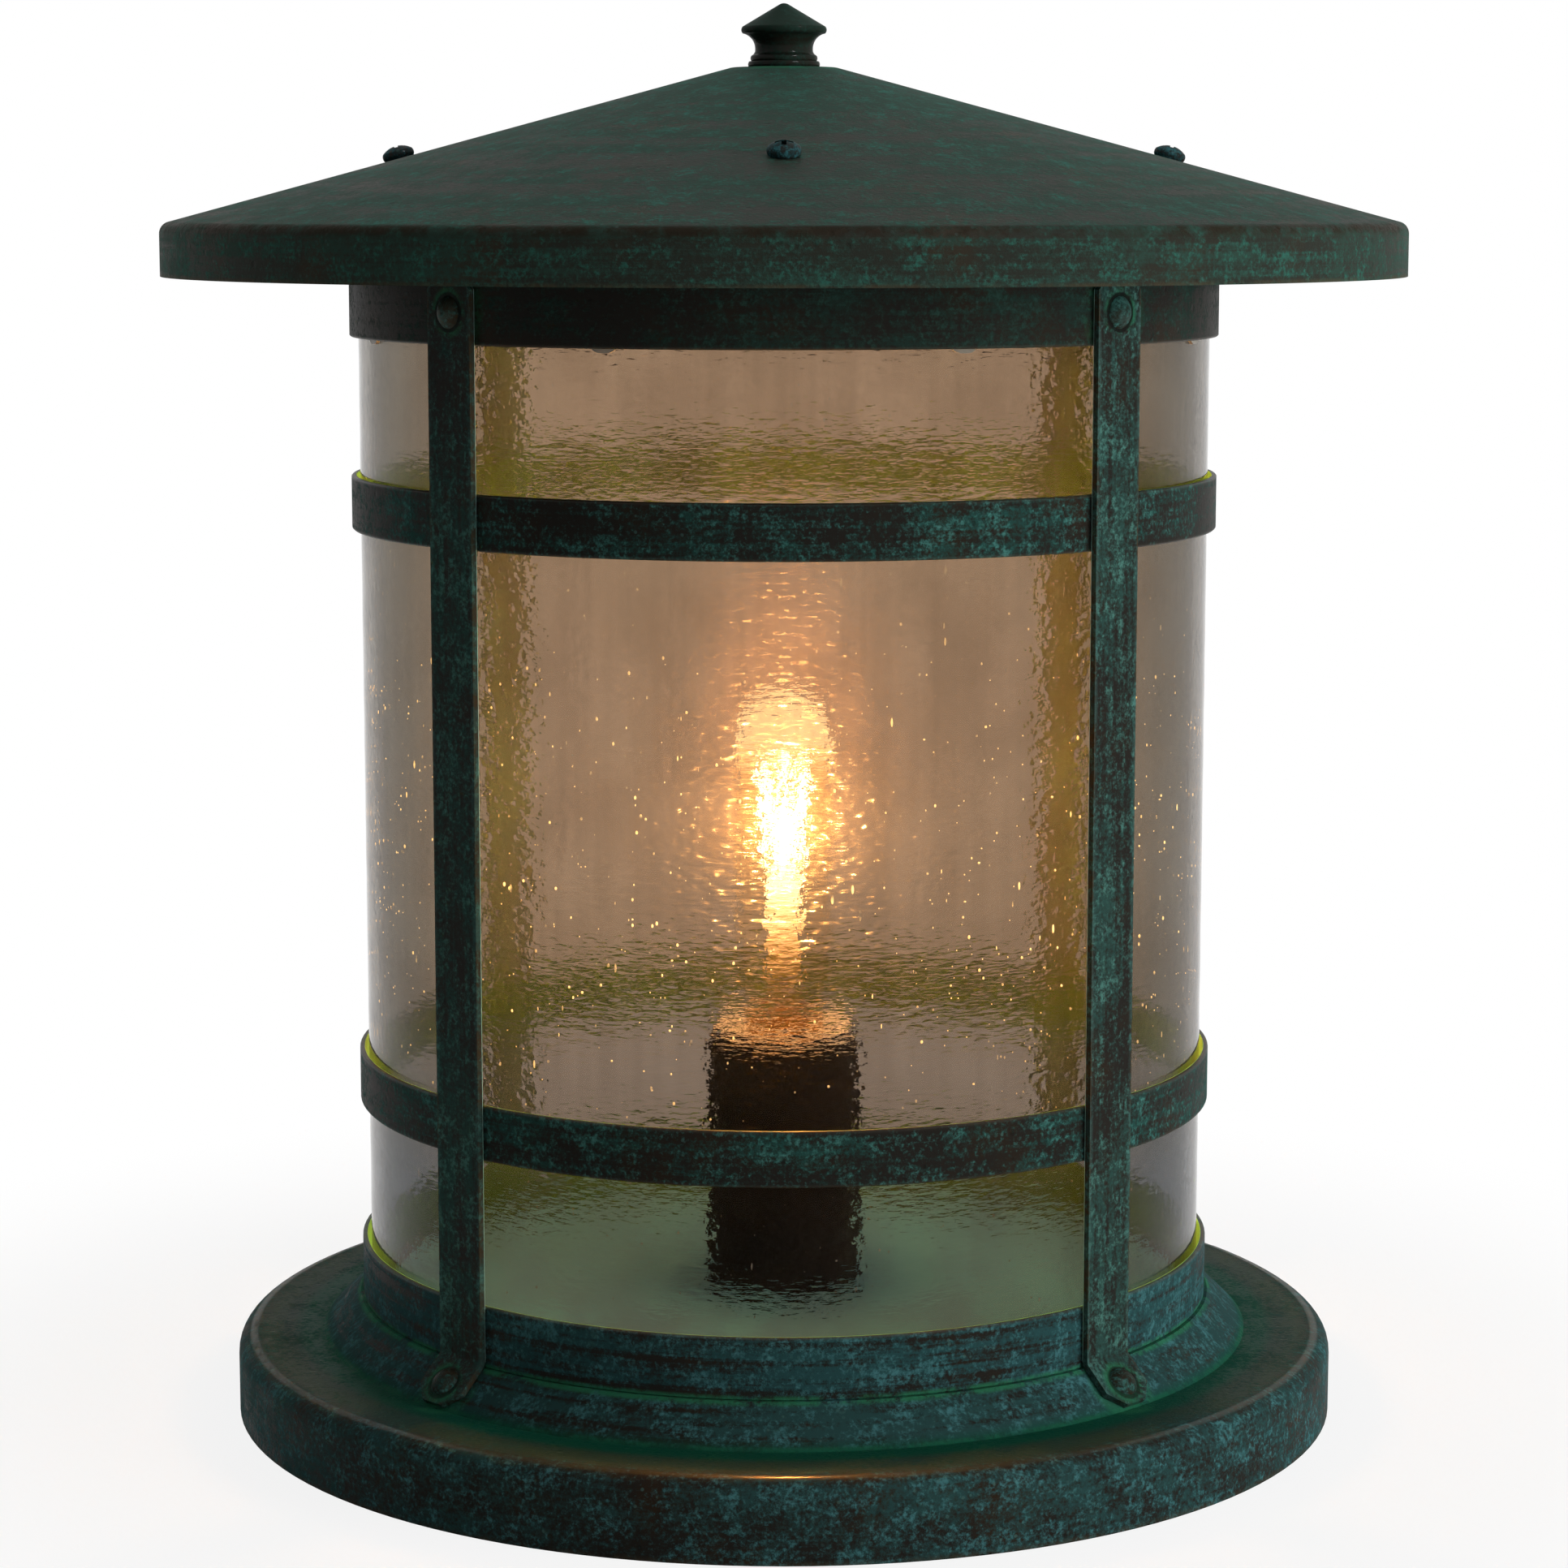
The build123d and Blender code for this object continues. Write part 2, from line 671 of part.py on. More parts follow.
with BuildPart() as socket_cap:
    with BuildSketch(Plane.XY.offset(socket_bottom - socket_cap_sheet)):
        Circle(socket_cap_radius)
        with PolarLocations(socket_screw_ring_radius, 2):
            Circle(socket_screw_radius + hole_gap, mode=Mode.SUBTRACT)
    extrude(amount=socket_cap_sheet)
    with BuildSketch(Plane.XY.offset(socket_bottom - socket_cap_sheet)):
        Circle(socket_bush_radius)
    extrude(amount=-socket_bush_height)
    with BuildSketch(Plane.XY.offset(socket_bottom)):
        Circle(nipple_radius + thread_gap)
    extrude(amount=-socket_cap_sheet - socket_bush_height, mode=Mode.SUBTRACT)
save(socket_cap.part, "socket_cap")

socket_screw = dome_screw(
    socket_screw_head_radius, socket_screw_head_height, socket_screw_radius, socket_screw_length, False
)
socket_screw_level = socket_bottom - socket_cap_sheet
socket_screw_places = [
    Plane(origin=(side * socket_screw_ring_radius, 0, socket_screw_level), z_dir=(0, 0, -1))
    for side in (1, -1)
]
save(placed(socket_screw, socket_screw_places), "socket_screws")

# Threaded nipple, its locknuts and washers
nipple_length = nipple_top - nipple_from_ground
save(ring(nipple_bore_radius, nipple_radius, nipple_from_ground, nipple_length), "nipple")
locknut = hex_nut(locknut_flats, locknut_height, nipple_radius + thread_gap)
under_floor = floor_level - base_sheet
locknut_levels = [
    crossbar_top,
    under_floor - washer_sheet - locknut_height,
    floor_level + washer_sheet,
]
save(placed(locknut, [Location((0, 0, level)) for level in locknut_levels]), "nipple_locknuts")
nipple_washer = ring(nipple_hole_radius, nipple_washer_radius, 0, washer_sheet)
washer_levels = [under_floor - washer_sheet, floor_level]
save(placed(nipple_washer, [Location((0, 0, level)) for level in washer_levels]), "nipple_washers")

# Crossbar with its two slots, and the earth screw in it
with BuildPart() as crossbar:
    with BuildSketch():
        RectangleRounded(crossbar_length, crossbar_width, crossbar_sheet)
        Circle(nipple_radius + thread_gap, mode=Mode.SUBTRACT)
        with GridLocations(crossbar_slot_spacing, 0, 2, 1):
            SlotOverall(crossbar_slot_length, crossbar_slot_width, mode=Mode.SUBTRACT)
        with Locations((ground_screw_offset, 0)):
            Circle(ground_screw_radius + thread_gap, mode=Mode.SUBTRACT)
    extrude(amount=crossbar_sheet)
save(crossbar.part, "crossbar")
ground_screw = dome_screw(
    ground_screw_head_radius, ground_screw_head_height, ground_screw_radius, crossbar_sheet, True
)
save(placed(ground_screw, [Location((ground_screw_offset, 0, crossbar_top))]), "ground_screw")

# Lamp: a tubular glass bulb with a domed top on a screw base
lamp_tube_low = lamp_shell_top + lamp_shoulder_height
lamp_dome_low = lamp_top - lamp_radius
inner_radius = lamp_radius - lamp_glass
inner_neck = lamp_neck_radius - lamp_glass
dome_side = sin(radians(45))
with BuildPart() as lamp_envelope:
    with BuildSketch(Plane.XZ):
        with BuildLine():
            Line((lamp_neck_radius, lamp_glass_bottom), (lamp_neck_radius, lamp_shell_top))
            Line((lamp_neck_radius, lamp_shell_top), (lamp_radius, lamp_tube_low))
            Line((lamp_radius, lamp_tube_low), (lamp_radius, lamp_dome_low))
            ThreePointArc(
                (lamp_radius, lamp_dome_low),
                (lamp_radius * dome_side, lamp_dome_low + lamp_radius * dome_side),
                (0, lamp_top),
            )
            Line((0, lamp_top), (0, lamp_top - lamp_glass))
            ThreePointArc(
                (0, lamp_top - lamp_glass),
                (inner_radius * dome_side, lamp_dome_low + inner_radius * dome_side),
                (inner_radius, lamp_dome_low),
            )
            Line((inner_radius, lamp_dome_low), (inner_radius, lamp_tube_low))
            Line((inner_radius, lamp_tube_low), (inner_neck, lamp_shell_top))
            Line((inner_neck, lamp_shell_top), (inner_neck, lamp_glass_bottom))
            Line((inner_neck, lamp_glass_bottom), (lamp_neck_radius, lamp_glass_bottom))
        make_face()
    revolve(axis=Axis.Z)
save(lamp_envelope.part, "lamp_envelope")

thread_cutter_radius = lamp_thread_pitch / 2 - lamp_thread_depth
thread_cutter_ring = lamp_shell_radius - lamp_thread_depth + thread_cutter_radius
lamp_shell_inner = lamp_shell_radius - lamp_shell_wall
thread_levels = [
    lamp_shell_bottom + (index + 1) * lamp_thread_pitch for index in range(lamp_thread_count)
]
with BuildPart() as lamp_shell:
    add(ring(lamp_shell_inner, lamp_shell_radius, lamp_shell_bottom, lamp_shell_height))
    with Locations(*[(0, 0, level) for level in thread_levels]):
        Torus(thread_cutter_ring, thread_cutter_radius, mode=Mode.SUBTRACT)
save(lamp_shell.part, "lamp_shell")

insulator_bottom = lamp_bottom + lamp_contact_height
with BuildPart() as lamp_insulator:
    with BuildSketch(Plane.XY.offset(insulator_bottom)):
        Circle(lamp_contact_radius)
    with BuildSketch(Plane.XY.offset(insulator_bottom + lamp_insulator_height)):
        Circle(lamp_shell_inner)
    loft()
save(lamp_insulator.part, "lamp_insulator")

with BuildPart() as lamp_contact:
    with BuildSketch(Plane.XZ):
        with BuildLine():
            crown = dome_middle(lamp_contact_radius, lamp_contact_height)
            ThreePointArc(
                (lamp_contact_radius, insulator_bottom),
                (crown.X, insulator_bottom - crown.Y),
                (0, lamp_bottom),
            )
            Line((0, lamp_bottom), (0, insulator_bottom))
            Line((0, insulator_bottom), (lamp_contact_radius, insulator_bottom))
        make_face()
    revolve(axis=Axis.Z)
save(lamp_contact.part, "lamp_contact")

# Lamp mount: a flared glass stem, pressed flat round the lead wires
stem_top = lamp_bottom + lamp_stem_top
press_top = stem_top + lamp_press_height
filament_low_level = lamp_bottom + filament_low
filament_high_level = lamp_bottom + filament_high
with BuildPart() as lamp_stem:
    with BuildSketch(Plane.XZ):
        with BuildLine():
            Polyline(
                (0, lamp_glass_bottom),
                (lamp_stem_flare, lamp_glass_bottom),
                (lamp_stem_radius, lamp_glass_bottom + lamp_stem_flare_height),
                (lamp_stem_radius, stem_top),
                (0, stem_top),
                close=True,
            )
        make_face()
    revolve(axis=Axis.Z)
    with BuildSketch(Plane.XY.offset(stem_top)):
        Circle(lamp_stem_radius)
    with BuildSketch(Plane.XY.offset(press_top)):
        Ellipse(lamp_stem_radius, lamp_press_width / 2)
    loft()
    with BuildSketch(Plane.XY.offset(stem_top)):
        Circle(lamp_arbor_radius)
    extrude(amount=lamp_arbor_top - lamp_stem_top)
    for level in (filament_low_level, filament_high_level):
        with BuildSketch(Plane.XY.offset(level - lamp_button_height / 2)):
            Circle(lamp_button_radius)
        extrude(amount=lamp_button_height)
save(lamp_stem.part, "lamp_stem")

# Bends of the filament, which zigzags up and down around the arbor
loop_turn = 360 / (filament_loops + 1)
first_turn = 90 + loop_turn / 2
low_turns = [first_turn + index * loop_turn for index in range(filament_loops + 1)]
high_turns = [turn + loop_turn / 2 for turn in low_turns[:-1]]
low_bends = [radial_plane(turn, filament_ring_radius, filament_low_level).origin for turn in low_turns]
high_bends = [radial_plane(turn, filament_ring_radius, filament_high_level).origin for turn in high_turns]

with BuildPart() as lamp_filament:
    with BuildLine() as filament_path:
        filament_points = [low_bends[0]]
        for high_bend, low_bend in zip(high_bends, low_bends[1:]):
            filament_points += [high_bend, low_bend]
        Polyline(*filament_points)
    with BuildSketch(filament_path.line ^ 0):
        Circle(filament_wire_radius)
    sweep(path=filament_path.line, transition=Transition.ROUND)
save(lamp_filament.part, "lamp_filament")

# Hooks that hold the bends out from the arbor's buttons
hook_length = filament_ring_radius - filament_wire_radius - lamp_button_radius - 2 * fixed_gap
hook_start = lamp_button_radius + fixed_gap
hook_planes = [radial_plane(turn, hook_start, filament_low_level) for turn in low_turns[1:-1]]
hook_planes += [radial_plane(turn, hook_start, filament_high_level) for turn in high_turns]
with BuildPart() as hook:
    with BuildSketch():
        Circle(lamp_hook_radius)
    extrude(amount=hook_length)
save(placed(hook.part, hook_planes), "lamp_hooks")

# Leads from the press to the two ends of the filament
lead_start = lamp_stem_radius - 2 * lamp_lead_radius
with BuildPart() as lamp_leads:
    for side, bend in ((-1, low_bends[0]), (1, low_bends[-1])):
        with BuildLine() as lead_path:
            lead_end = (bend.X, bend.Y, bend.Z - lamp_lead_radius - fixed_gap)
            Line((side * lead_start, 0, press_top + lamp_lead_radius + fixed_gap), lead_end)
        with BuildSketch(lead_path.line ^ 0):
            Circle(lamp_lead_radius)
        sweep(path=lead_path.line)
save(lamp_leads.part, "lamp_leads")
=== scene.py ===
"""Round column lantern in dark verdigris: finishes, seedy glass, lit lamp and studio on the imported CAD."""
import json
import logging
import math
from dataclasses import dataclass, field
from enum import Enum
from typing import Any, Mapping, Optional, Sequence, Union

import bpy
import numpy as np
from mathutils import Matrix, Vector

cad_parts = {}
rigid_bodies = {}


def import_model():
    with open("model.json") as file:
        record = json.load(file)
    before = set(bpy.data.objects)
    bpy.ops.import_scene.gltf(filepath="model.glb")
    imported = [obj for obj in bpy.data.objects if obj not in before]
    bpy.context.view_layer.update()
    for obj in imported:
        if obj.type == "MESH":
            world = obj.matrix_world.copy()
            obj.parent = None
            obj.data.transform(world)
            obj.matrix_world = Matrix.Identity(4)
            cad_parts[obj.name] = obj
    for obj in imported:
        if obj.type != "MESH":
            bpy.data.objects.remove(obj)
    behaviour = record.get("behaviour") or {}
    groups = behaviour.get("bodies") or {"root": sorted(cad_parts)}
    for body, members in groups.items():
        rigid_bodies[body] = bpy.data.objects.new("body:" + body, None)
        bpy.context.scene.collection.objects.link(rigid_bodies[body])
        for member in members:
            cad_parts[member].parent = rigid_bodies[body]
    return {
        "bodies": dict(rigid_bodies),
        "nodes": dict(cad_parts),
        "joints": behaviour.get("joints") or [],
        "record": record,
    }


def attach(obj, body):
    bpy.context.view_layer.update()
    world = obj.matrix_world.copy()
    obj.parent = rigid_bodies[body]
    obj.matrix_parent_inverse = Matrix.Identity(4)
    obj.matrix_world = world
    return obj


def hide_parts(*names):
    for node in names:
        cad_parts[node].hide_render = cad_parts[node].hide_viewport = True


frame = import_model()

LOG = logging.getLogger("lantern")
ROOT_TWO = math.sqrt(2.0)

Colour = tuple[float, float, float]
Triple = tuple[float, float, float]
Value = Union["Field", float, int]
Span = tuple[float, float]


class Body(str, Enum):
    """CAD bodies that new pieces ride on."""

    FRAME = "frame"


class Slot(str, Enum):
    """Material slots of the record that new pieces use."""

    SEEDY_GLASS = "seedy_glass"


class Grain(Enum):
    """Direction of the brushed streaks in a sheet, as the scale of the streak noise on X, Y and Z."""

    AROUND = (11.0, 11.0, 420.0)
    UPRIGHT = (380.0, 380.0, 14.0)
    CLOUD = (38.0, 38.0, 38.0)


class Reach(Enum):
    """What a light falls on: matt colour, gloss and glass, in that order."""

    MATT = (True, False, False)
    GLOSS = (False, True, False)
    GLARE = (False, True, True)


class Blend(Enum):
    """How a Mix node joins two colours."""

    OVER = "MIX"
    TIMES = "MULTIPLY"


class Outlet(Enum):
    """Where a finished shader goes."""

    MATERIAL = "ShaderNodeOutputMaterial"
    WORLD = "ShaderNodeOutputWorld"


class Field:
    """A shader socket that takes part in Python arithmetic, with one Math node for each operation."""

    def __init__(self, bench: "Bench", socket: bpy.types.NodeSocket) -> None:
        """Keep the socket and the bench that its node stands on."""
        self.bench = bench
        self.socket = socket

    def output(self, name: str) -> "Field":
        """Another output of the same node."""
        return Field(self.bench, self.socket.node.outputs[name])

    def __add__(self, other: Value) -> "Field":
        """Sum of two values."""
        return self.bench.math("ADD", self, other)

    def __radd__(self, other: Value) -> "Field":
        """Sum of two values."""
        return self.bench.math("ADD", other, self)

    def __sub__(self, other: Value) -> "Field":
        """Difference of two values."""
        return self.bench.math("SUBTRACT", self, other)

    def __rsub__(self, other: Value) -> "Field":
        """Difference of two values."""
        return self.bench.math("SUBTRACT", other, self)

    def __mul__(self, other: Value) -> "Field":
        """Product of two values."""
        return self.bench.math("MULTIPLY", self, other)

    def __rmul__(self, other: Value) -> "Field":
        """Product of two values."""
        return self.bench.math("MULTIPLY", other, self)

    def __truediv__(self, other: Value) -> "Field":
        """Quotient of two values."""
        return self.bench.math("DIVIDE", self, other)

    def __rtruediv__(self, other: Value) -> "Field":
        """Quotient of two values."""
        return self.bench.math("DIVIDE", other, self)

    def __pow__(self, other: Value) -> "Field":
        """This value to a power."""
        return self.bench.math("POWER", self, other)

    def __rpow__(self, other: Value) -> "Field":
        """A value to the power of this one."""
        return self.bench.math("POWER", other, self)

    def __abs__(self) -> "Field":
        """Size of this value."""
        return self.bench.math("ABSOLUTE", self)

    def root(self) -> "Field":
        """Square root of this value."""
        return self.bench.math("SQRT", self)

    def most(self, other: Value) -> "Field":
        """Larger of two values."""
        return self.bench.math("MAXIMUM", self, other)

    def ramp(self, low: float, high: float) -> "Field":
        """Smooth step from 0 at low to 1 at high, where low may be the larger."""
        ends = {"Value": self, "From Min": low, "From Max": high}
        return self.bench.node("ShaderNodeMapRange", {"interpolation_type": "SMOOTHSTEP"}, ends)

    def within(self, span: Span, soft: float) -> "Field":
        """1 inside a span and 0 outside it, with soft ends."""
        low, high = span
        return self.ramp(low - soft, low + soft) * self.ramp(high + soft, high - soft)


@dataclass(frozen=True)
class Place:
    """Where a point of the surface lies: Object coordinates and what follows from them, in metres."""

    vector: Field
    z: Field
    radius: Field
    strap_out: Field
    strap_side: Field

    def near_ring(self, radius: float, level: float) -> Field:
        """Distance from a ring about the axis."""
        return ((self.radius - radius) ** 2 + (self.z - level) ** 2).root()

    def near_strap_point(self, out: float, level: float) -> Field:
        """Distance from the nearest of four points on the middle lines of the straps."""
        return ((self.strap_out - out) ** 2 + self.strap_side**2 + (self.z - level) ** 2).root()


class Bench:
    """A node tree and the one way in which its nodes are made."""

    def __init__(self, tree: bpy.types.NodeTree) -> None:
        """Start with an empty tree."""
        self.tree = tree
        tree.nodes.clear()

    @staticmethod
    def _socket(sockets: Any, key: Union[int, str]) -> bpy.types.NodeSocket:
        """Find a socket.

        Args:
            sockets: Inputs or outputs of a node.
            key: Number, identifier or name of the socket.

        Returns:
            The socket.
        """
        if isinstance(key, int):
            return sockets[key]
        return next(socket for socket in sockets if key in (socket.identifier, socket.name))

    def _make(
        self,
        kind: str,
        settings: Optional[Mapping[str, Any]] = None,
        inputs: Optional[Mapping[Union[int, str], Any]] = None,
    ) -> bpy.types.Node:
        """Make a node.

        Args:
            kind: Node type.
            settings: Attributes to set first.
            inputs: Values or fields for the input sockets.

        Returns:
            The node.
        """
        made = self.tree.nodes.new(kind)
        for name, value in (settings or {}).items():
            setattr(made, name, value)
        for key, value in (inputs or {}).items():
            socket = self._socket(made.inputs, key)
            if isinstance(value, Field):
                self.tree.links.new(value.socket, socket)
            elif socket.type == "RGBA":
                socket.default_value = (*value, 1.0)
            else:
                socket.default_value = value
        return made

    def node(
        self,
        kind: str,
        settings: Optional[Mapping[str, Any]] = None,
        inputs: Optional[Mapping[Union[int, str], Any]] = None,
        output: Union[int, str] = 0,
    ) -> Field:
        """Make a node for one of its outputs.

        Args:
            kind: Node type.
            settings: Attributes to set first.
            inputs: Values or fields for the input sockets.
            output: Which output to return.

        Returns:
            The chosen output.
        """
        return Field(self, self._socket(self._make(kind, settings, inputs).outputs, output))

    def math(self, operation: str, *values: Value) -> Field:
        """A Math node on one or two values."""
        return self.node("ShaderNodeMath", {"operation": operation}, dict(enumerate(values)))

    def place(self) -> Place:
        """Read Object coordinates, and work out the radius and the two directions of the nearest strap.

        Returns:
            Where a point of the surface lies.
        """
        vector = self.node("ShaderNodeTexCoord", output="Object")
        x = self.node("ShaderNodeSeparateXYZ", inputs={"Vector": vector})
        y, z = x.output("Y"), x.output("Z")
        radius = (x * x + y * y).root()
        wide, deep = abs(x), abs(y)
        return Place(vector, z, radius, (wide + deep) / ROOT_TWO, (wide - deep) / ROOT_TWO)

    def shifted(self, vector: Field, shift: Triple) -> Field:
        """Coordinates moved on X, Y and Z."""
        return self.node("ShaderNodeMapping", inputs={"Vector": vector, "Location": shift})

    def noise(self, vector: Field, scale: float, detail: float = 4.0, roughness: float = 0.55) -> Field:
        """Cloud noise between 0 and 1.

        Args:
            vector: Coordinates.
            scale: Clouds to a metre.
            detail: Number of finer layers.
            roughness: Weight of the finer layers.

        Returns:
            The noise.
        """
        layers = {"Vector": vector, "Scale": scale, "Detail": detail, "Roughness": roughness}
        return self.node("ShaderNodeTexNoise", inputs=layers)

    def drawn_noise(self, vector: Field, scale: Triple, detail: float, roughness: float = 0.55) -> Field:
        """Cloud noise with clouds that are drawn out, by a scale of its own on X, Y and Z."""
        stretched = self.node("ShaderNodeMapping", inputs={"Vector": vector, "Scale": scale})
        return self.noise(stretched, 1.0, detail, roughness)

    def cells(self, vector: Field, scale: float) -> Field:
        """Distance from the middle of the nearest Voronoi cell, with the cell's colour as another output."""
        return self.node("ShaderNodeTexVoronoi", inputs={"Vector": vector, "Scale": scale})

    def chance(self, cell: Field) -> Field:
        """A number between 0 and 1 that is the same all over a Voronoi cell."""
        return self.node("ShaderNodeSeparateColor", inputs={"Color": cell.output("Color")})

    def mix(
        self,
        factor: Value,
        first: Union[Field, Colour],
        second: Union[Field, Colour],
        blend: Blend = Blend.OVER,
    ) -> Field:
        """First colour at factor 0, and the second, or the product of the two, at factor 1.

        Args:
            factor: How far the blend goes.
            first: Colour underneath.
            second: Colour on top.
            blend: How the two join.

        Returns:
            The mixed colour.
        """
        settings = {"data_type": "RGBA", "blend_type": blend.value}
        ends = {"Factor_Float": factor, "A_Color": first, "B_Color": second}
        return self.node("ShaderNodeMix", settings, ends, "Result_Color")

    def dim(self, colour: Field, factor: Value, shade: Colour) -> Field:
        """A colour times a shade, as far as the factor says."""
        return self.mix(factor, colour, shade, Blend.TIMES)

    def facing(self) -> Field:
        """0 where a surface faces the eye and 1 where it is seen edge on."""
        return self.node("ShaderNodeLayerWeight", inputs={"Blend": 0.5}, output="Facing")

    def bump(self, height: Field, strength: float, distance: float) -> Field:
        """Normal of a relief of that height, a distance deep in metres."""
        relief = {"Height": height, "Strength": strength, "Distance": distance}
        return self.node("ShaderNodeBump", inputs=relief)

    def principled(self, **inputs: Any) -> Field:
        """A Principled shader, with the spaces of its socket names written as underscores."""
        named = {name.replace("_", " "): value for name, value in inputs.items()}
        return self.node("ShaderNodeBsdfPrincipled", inputs=named)

    def mix_shader(self, factor: Value, first: Field, second: Field) -> Field:
        """First shader at factor 0, second at factor 1."""
        return self.node("ShaderNodeMixShader", inputs={0: factor, 1: first, 2: second})

    def let_light_through(self, shader: Field, tint: Colour) -> Field:
        """A shader that casts only a tinted shadow.

        Args:
            shader: What the eye sees.
            tint: Colour of the light that passes.

        Returns:
            The shader, clear to shadow rays.
        """
        clear = self.node("ShaderNodeBsdfTransparent", inputs={"Color": tint})
        return self.mix_shader(self.node("ShaderNodeLightPath", output="Is Shadow Ray"), shader, clear)

    def background_rays(self) -> Field:
        """1 for the rays that see the background: straight, in gloss or through glass."""
        path = self.node("ShaderNodeLightPath", output="Is Camera Ray")
        return path.most(path.output("Is Glossy Ray")).most(path.output("Is Transmission Ray"))

    def surface(self, shader: Field, outlet: Outlet = Outlet.MATERIAL) -> None:
        """Send a shader to the output of a material or world."""
        self._make(outlet.value, inputs={"Surface": shader})


class Finish:
    """A finish: each kind below works out its shader, and this puts it on a new material."""

    name: str

    def shader(self, bench: Bench, place: Place) -> Field:
        """Work out the shader, on a bench, from where a point of the surface lies."""
        raise NotImplementedError

    def make(self) -> bpy.types.Material:
        """Build the material.

        Returns:
            The material.
        """
        material = bpy.data.materials.new(self.name)
        material.use_nodes = True
        bench = Bench(material.node_tree)
        bench.surface(self.shader(bench, bench.place()))
        return material


@dataclass(frozen=True)
class Ring:
    """A line around the axis in which colour gathers or wears off."""

    radius: float
    level: float
    width: float
    colour: Colour
    share: float = 0.85
    broken: bool = True


@dataclass(frozen=True)
class Spot:
    """A round mark about a rivet, the same on all four straps: patina, or painted shade in the crevice where
    it is near black.
    """

    out: float
    level: float
    inner: float
    outer: float
    colour: Colour
    share: float = 0.8
    broken: bool = True


@dataclass(frozen=True)
class Zone:
    """A stretch of the profile where the bloom is thicker or thinner, or more streaked."""

    radius: Span
    level: Span
    lift: float
    soft: float = 0.004
    streak: float = 0.0


GREEN = (0.02, 0.125, 0.06)
PALE_TEAL = (0.075, 0.175, 0.155)
BRONZE = (0.05, 0.036, 0.02)
# Near-black of pits, and of painted shade in the crevices about rivet heads.
SOOT_AND_SHADE = (0.006, 0.006, 0.005)
# Bright yellow-green of inner faces: partly their own colour, partly painted lamplight.
OLIVE_AND_LAMPLIGHT = (0.34, 0.88, 0.2)
WHITE = (1.0, 1.0, 1.0)
FOOT_RIVET = (0.1507, 0.0325)
STRAP_EDGE = (0.0079, 0.0094)
STRAP_CORNER = (0.0089, 0.0097)
LINING_AND_LAMPLIGHT_STEP = 0.0001


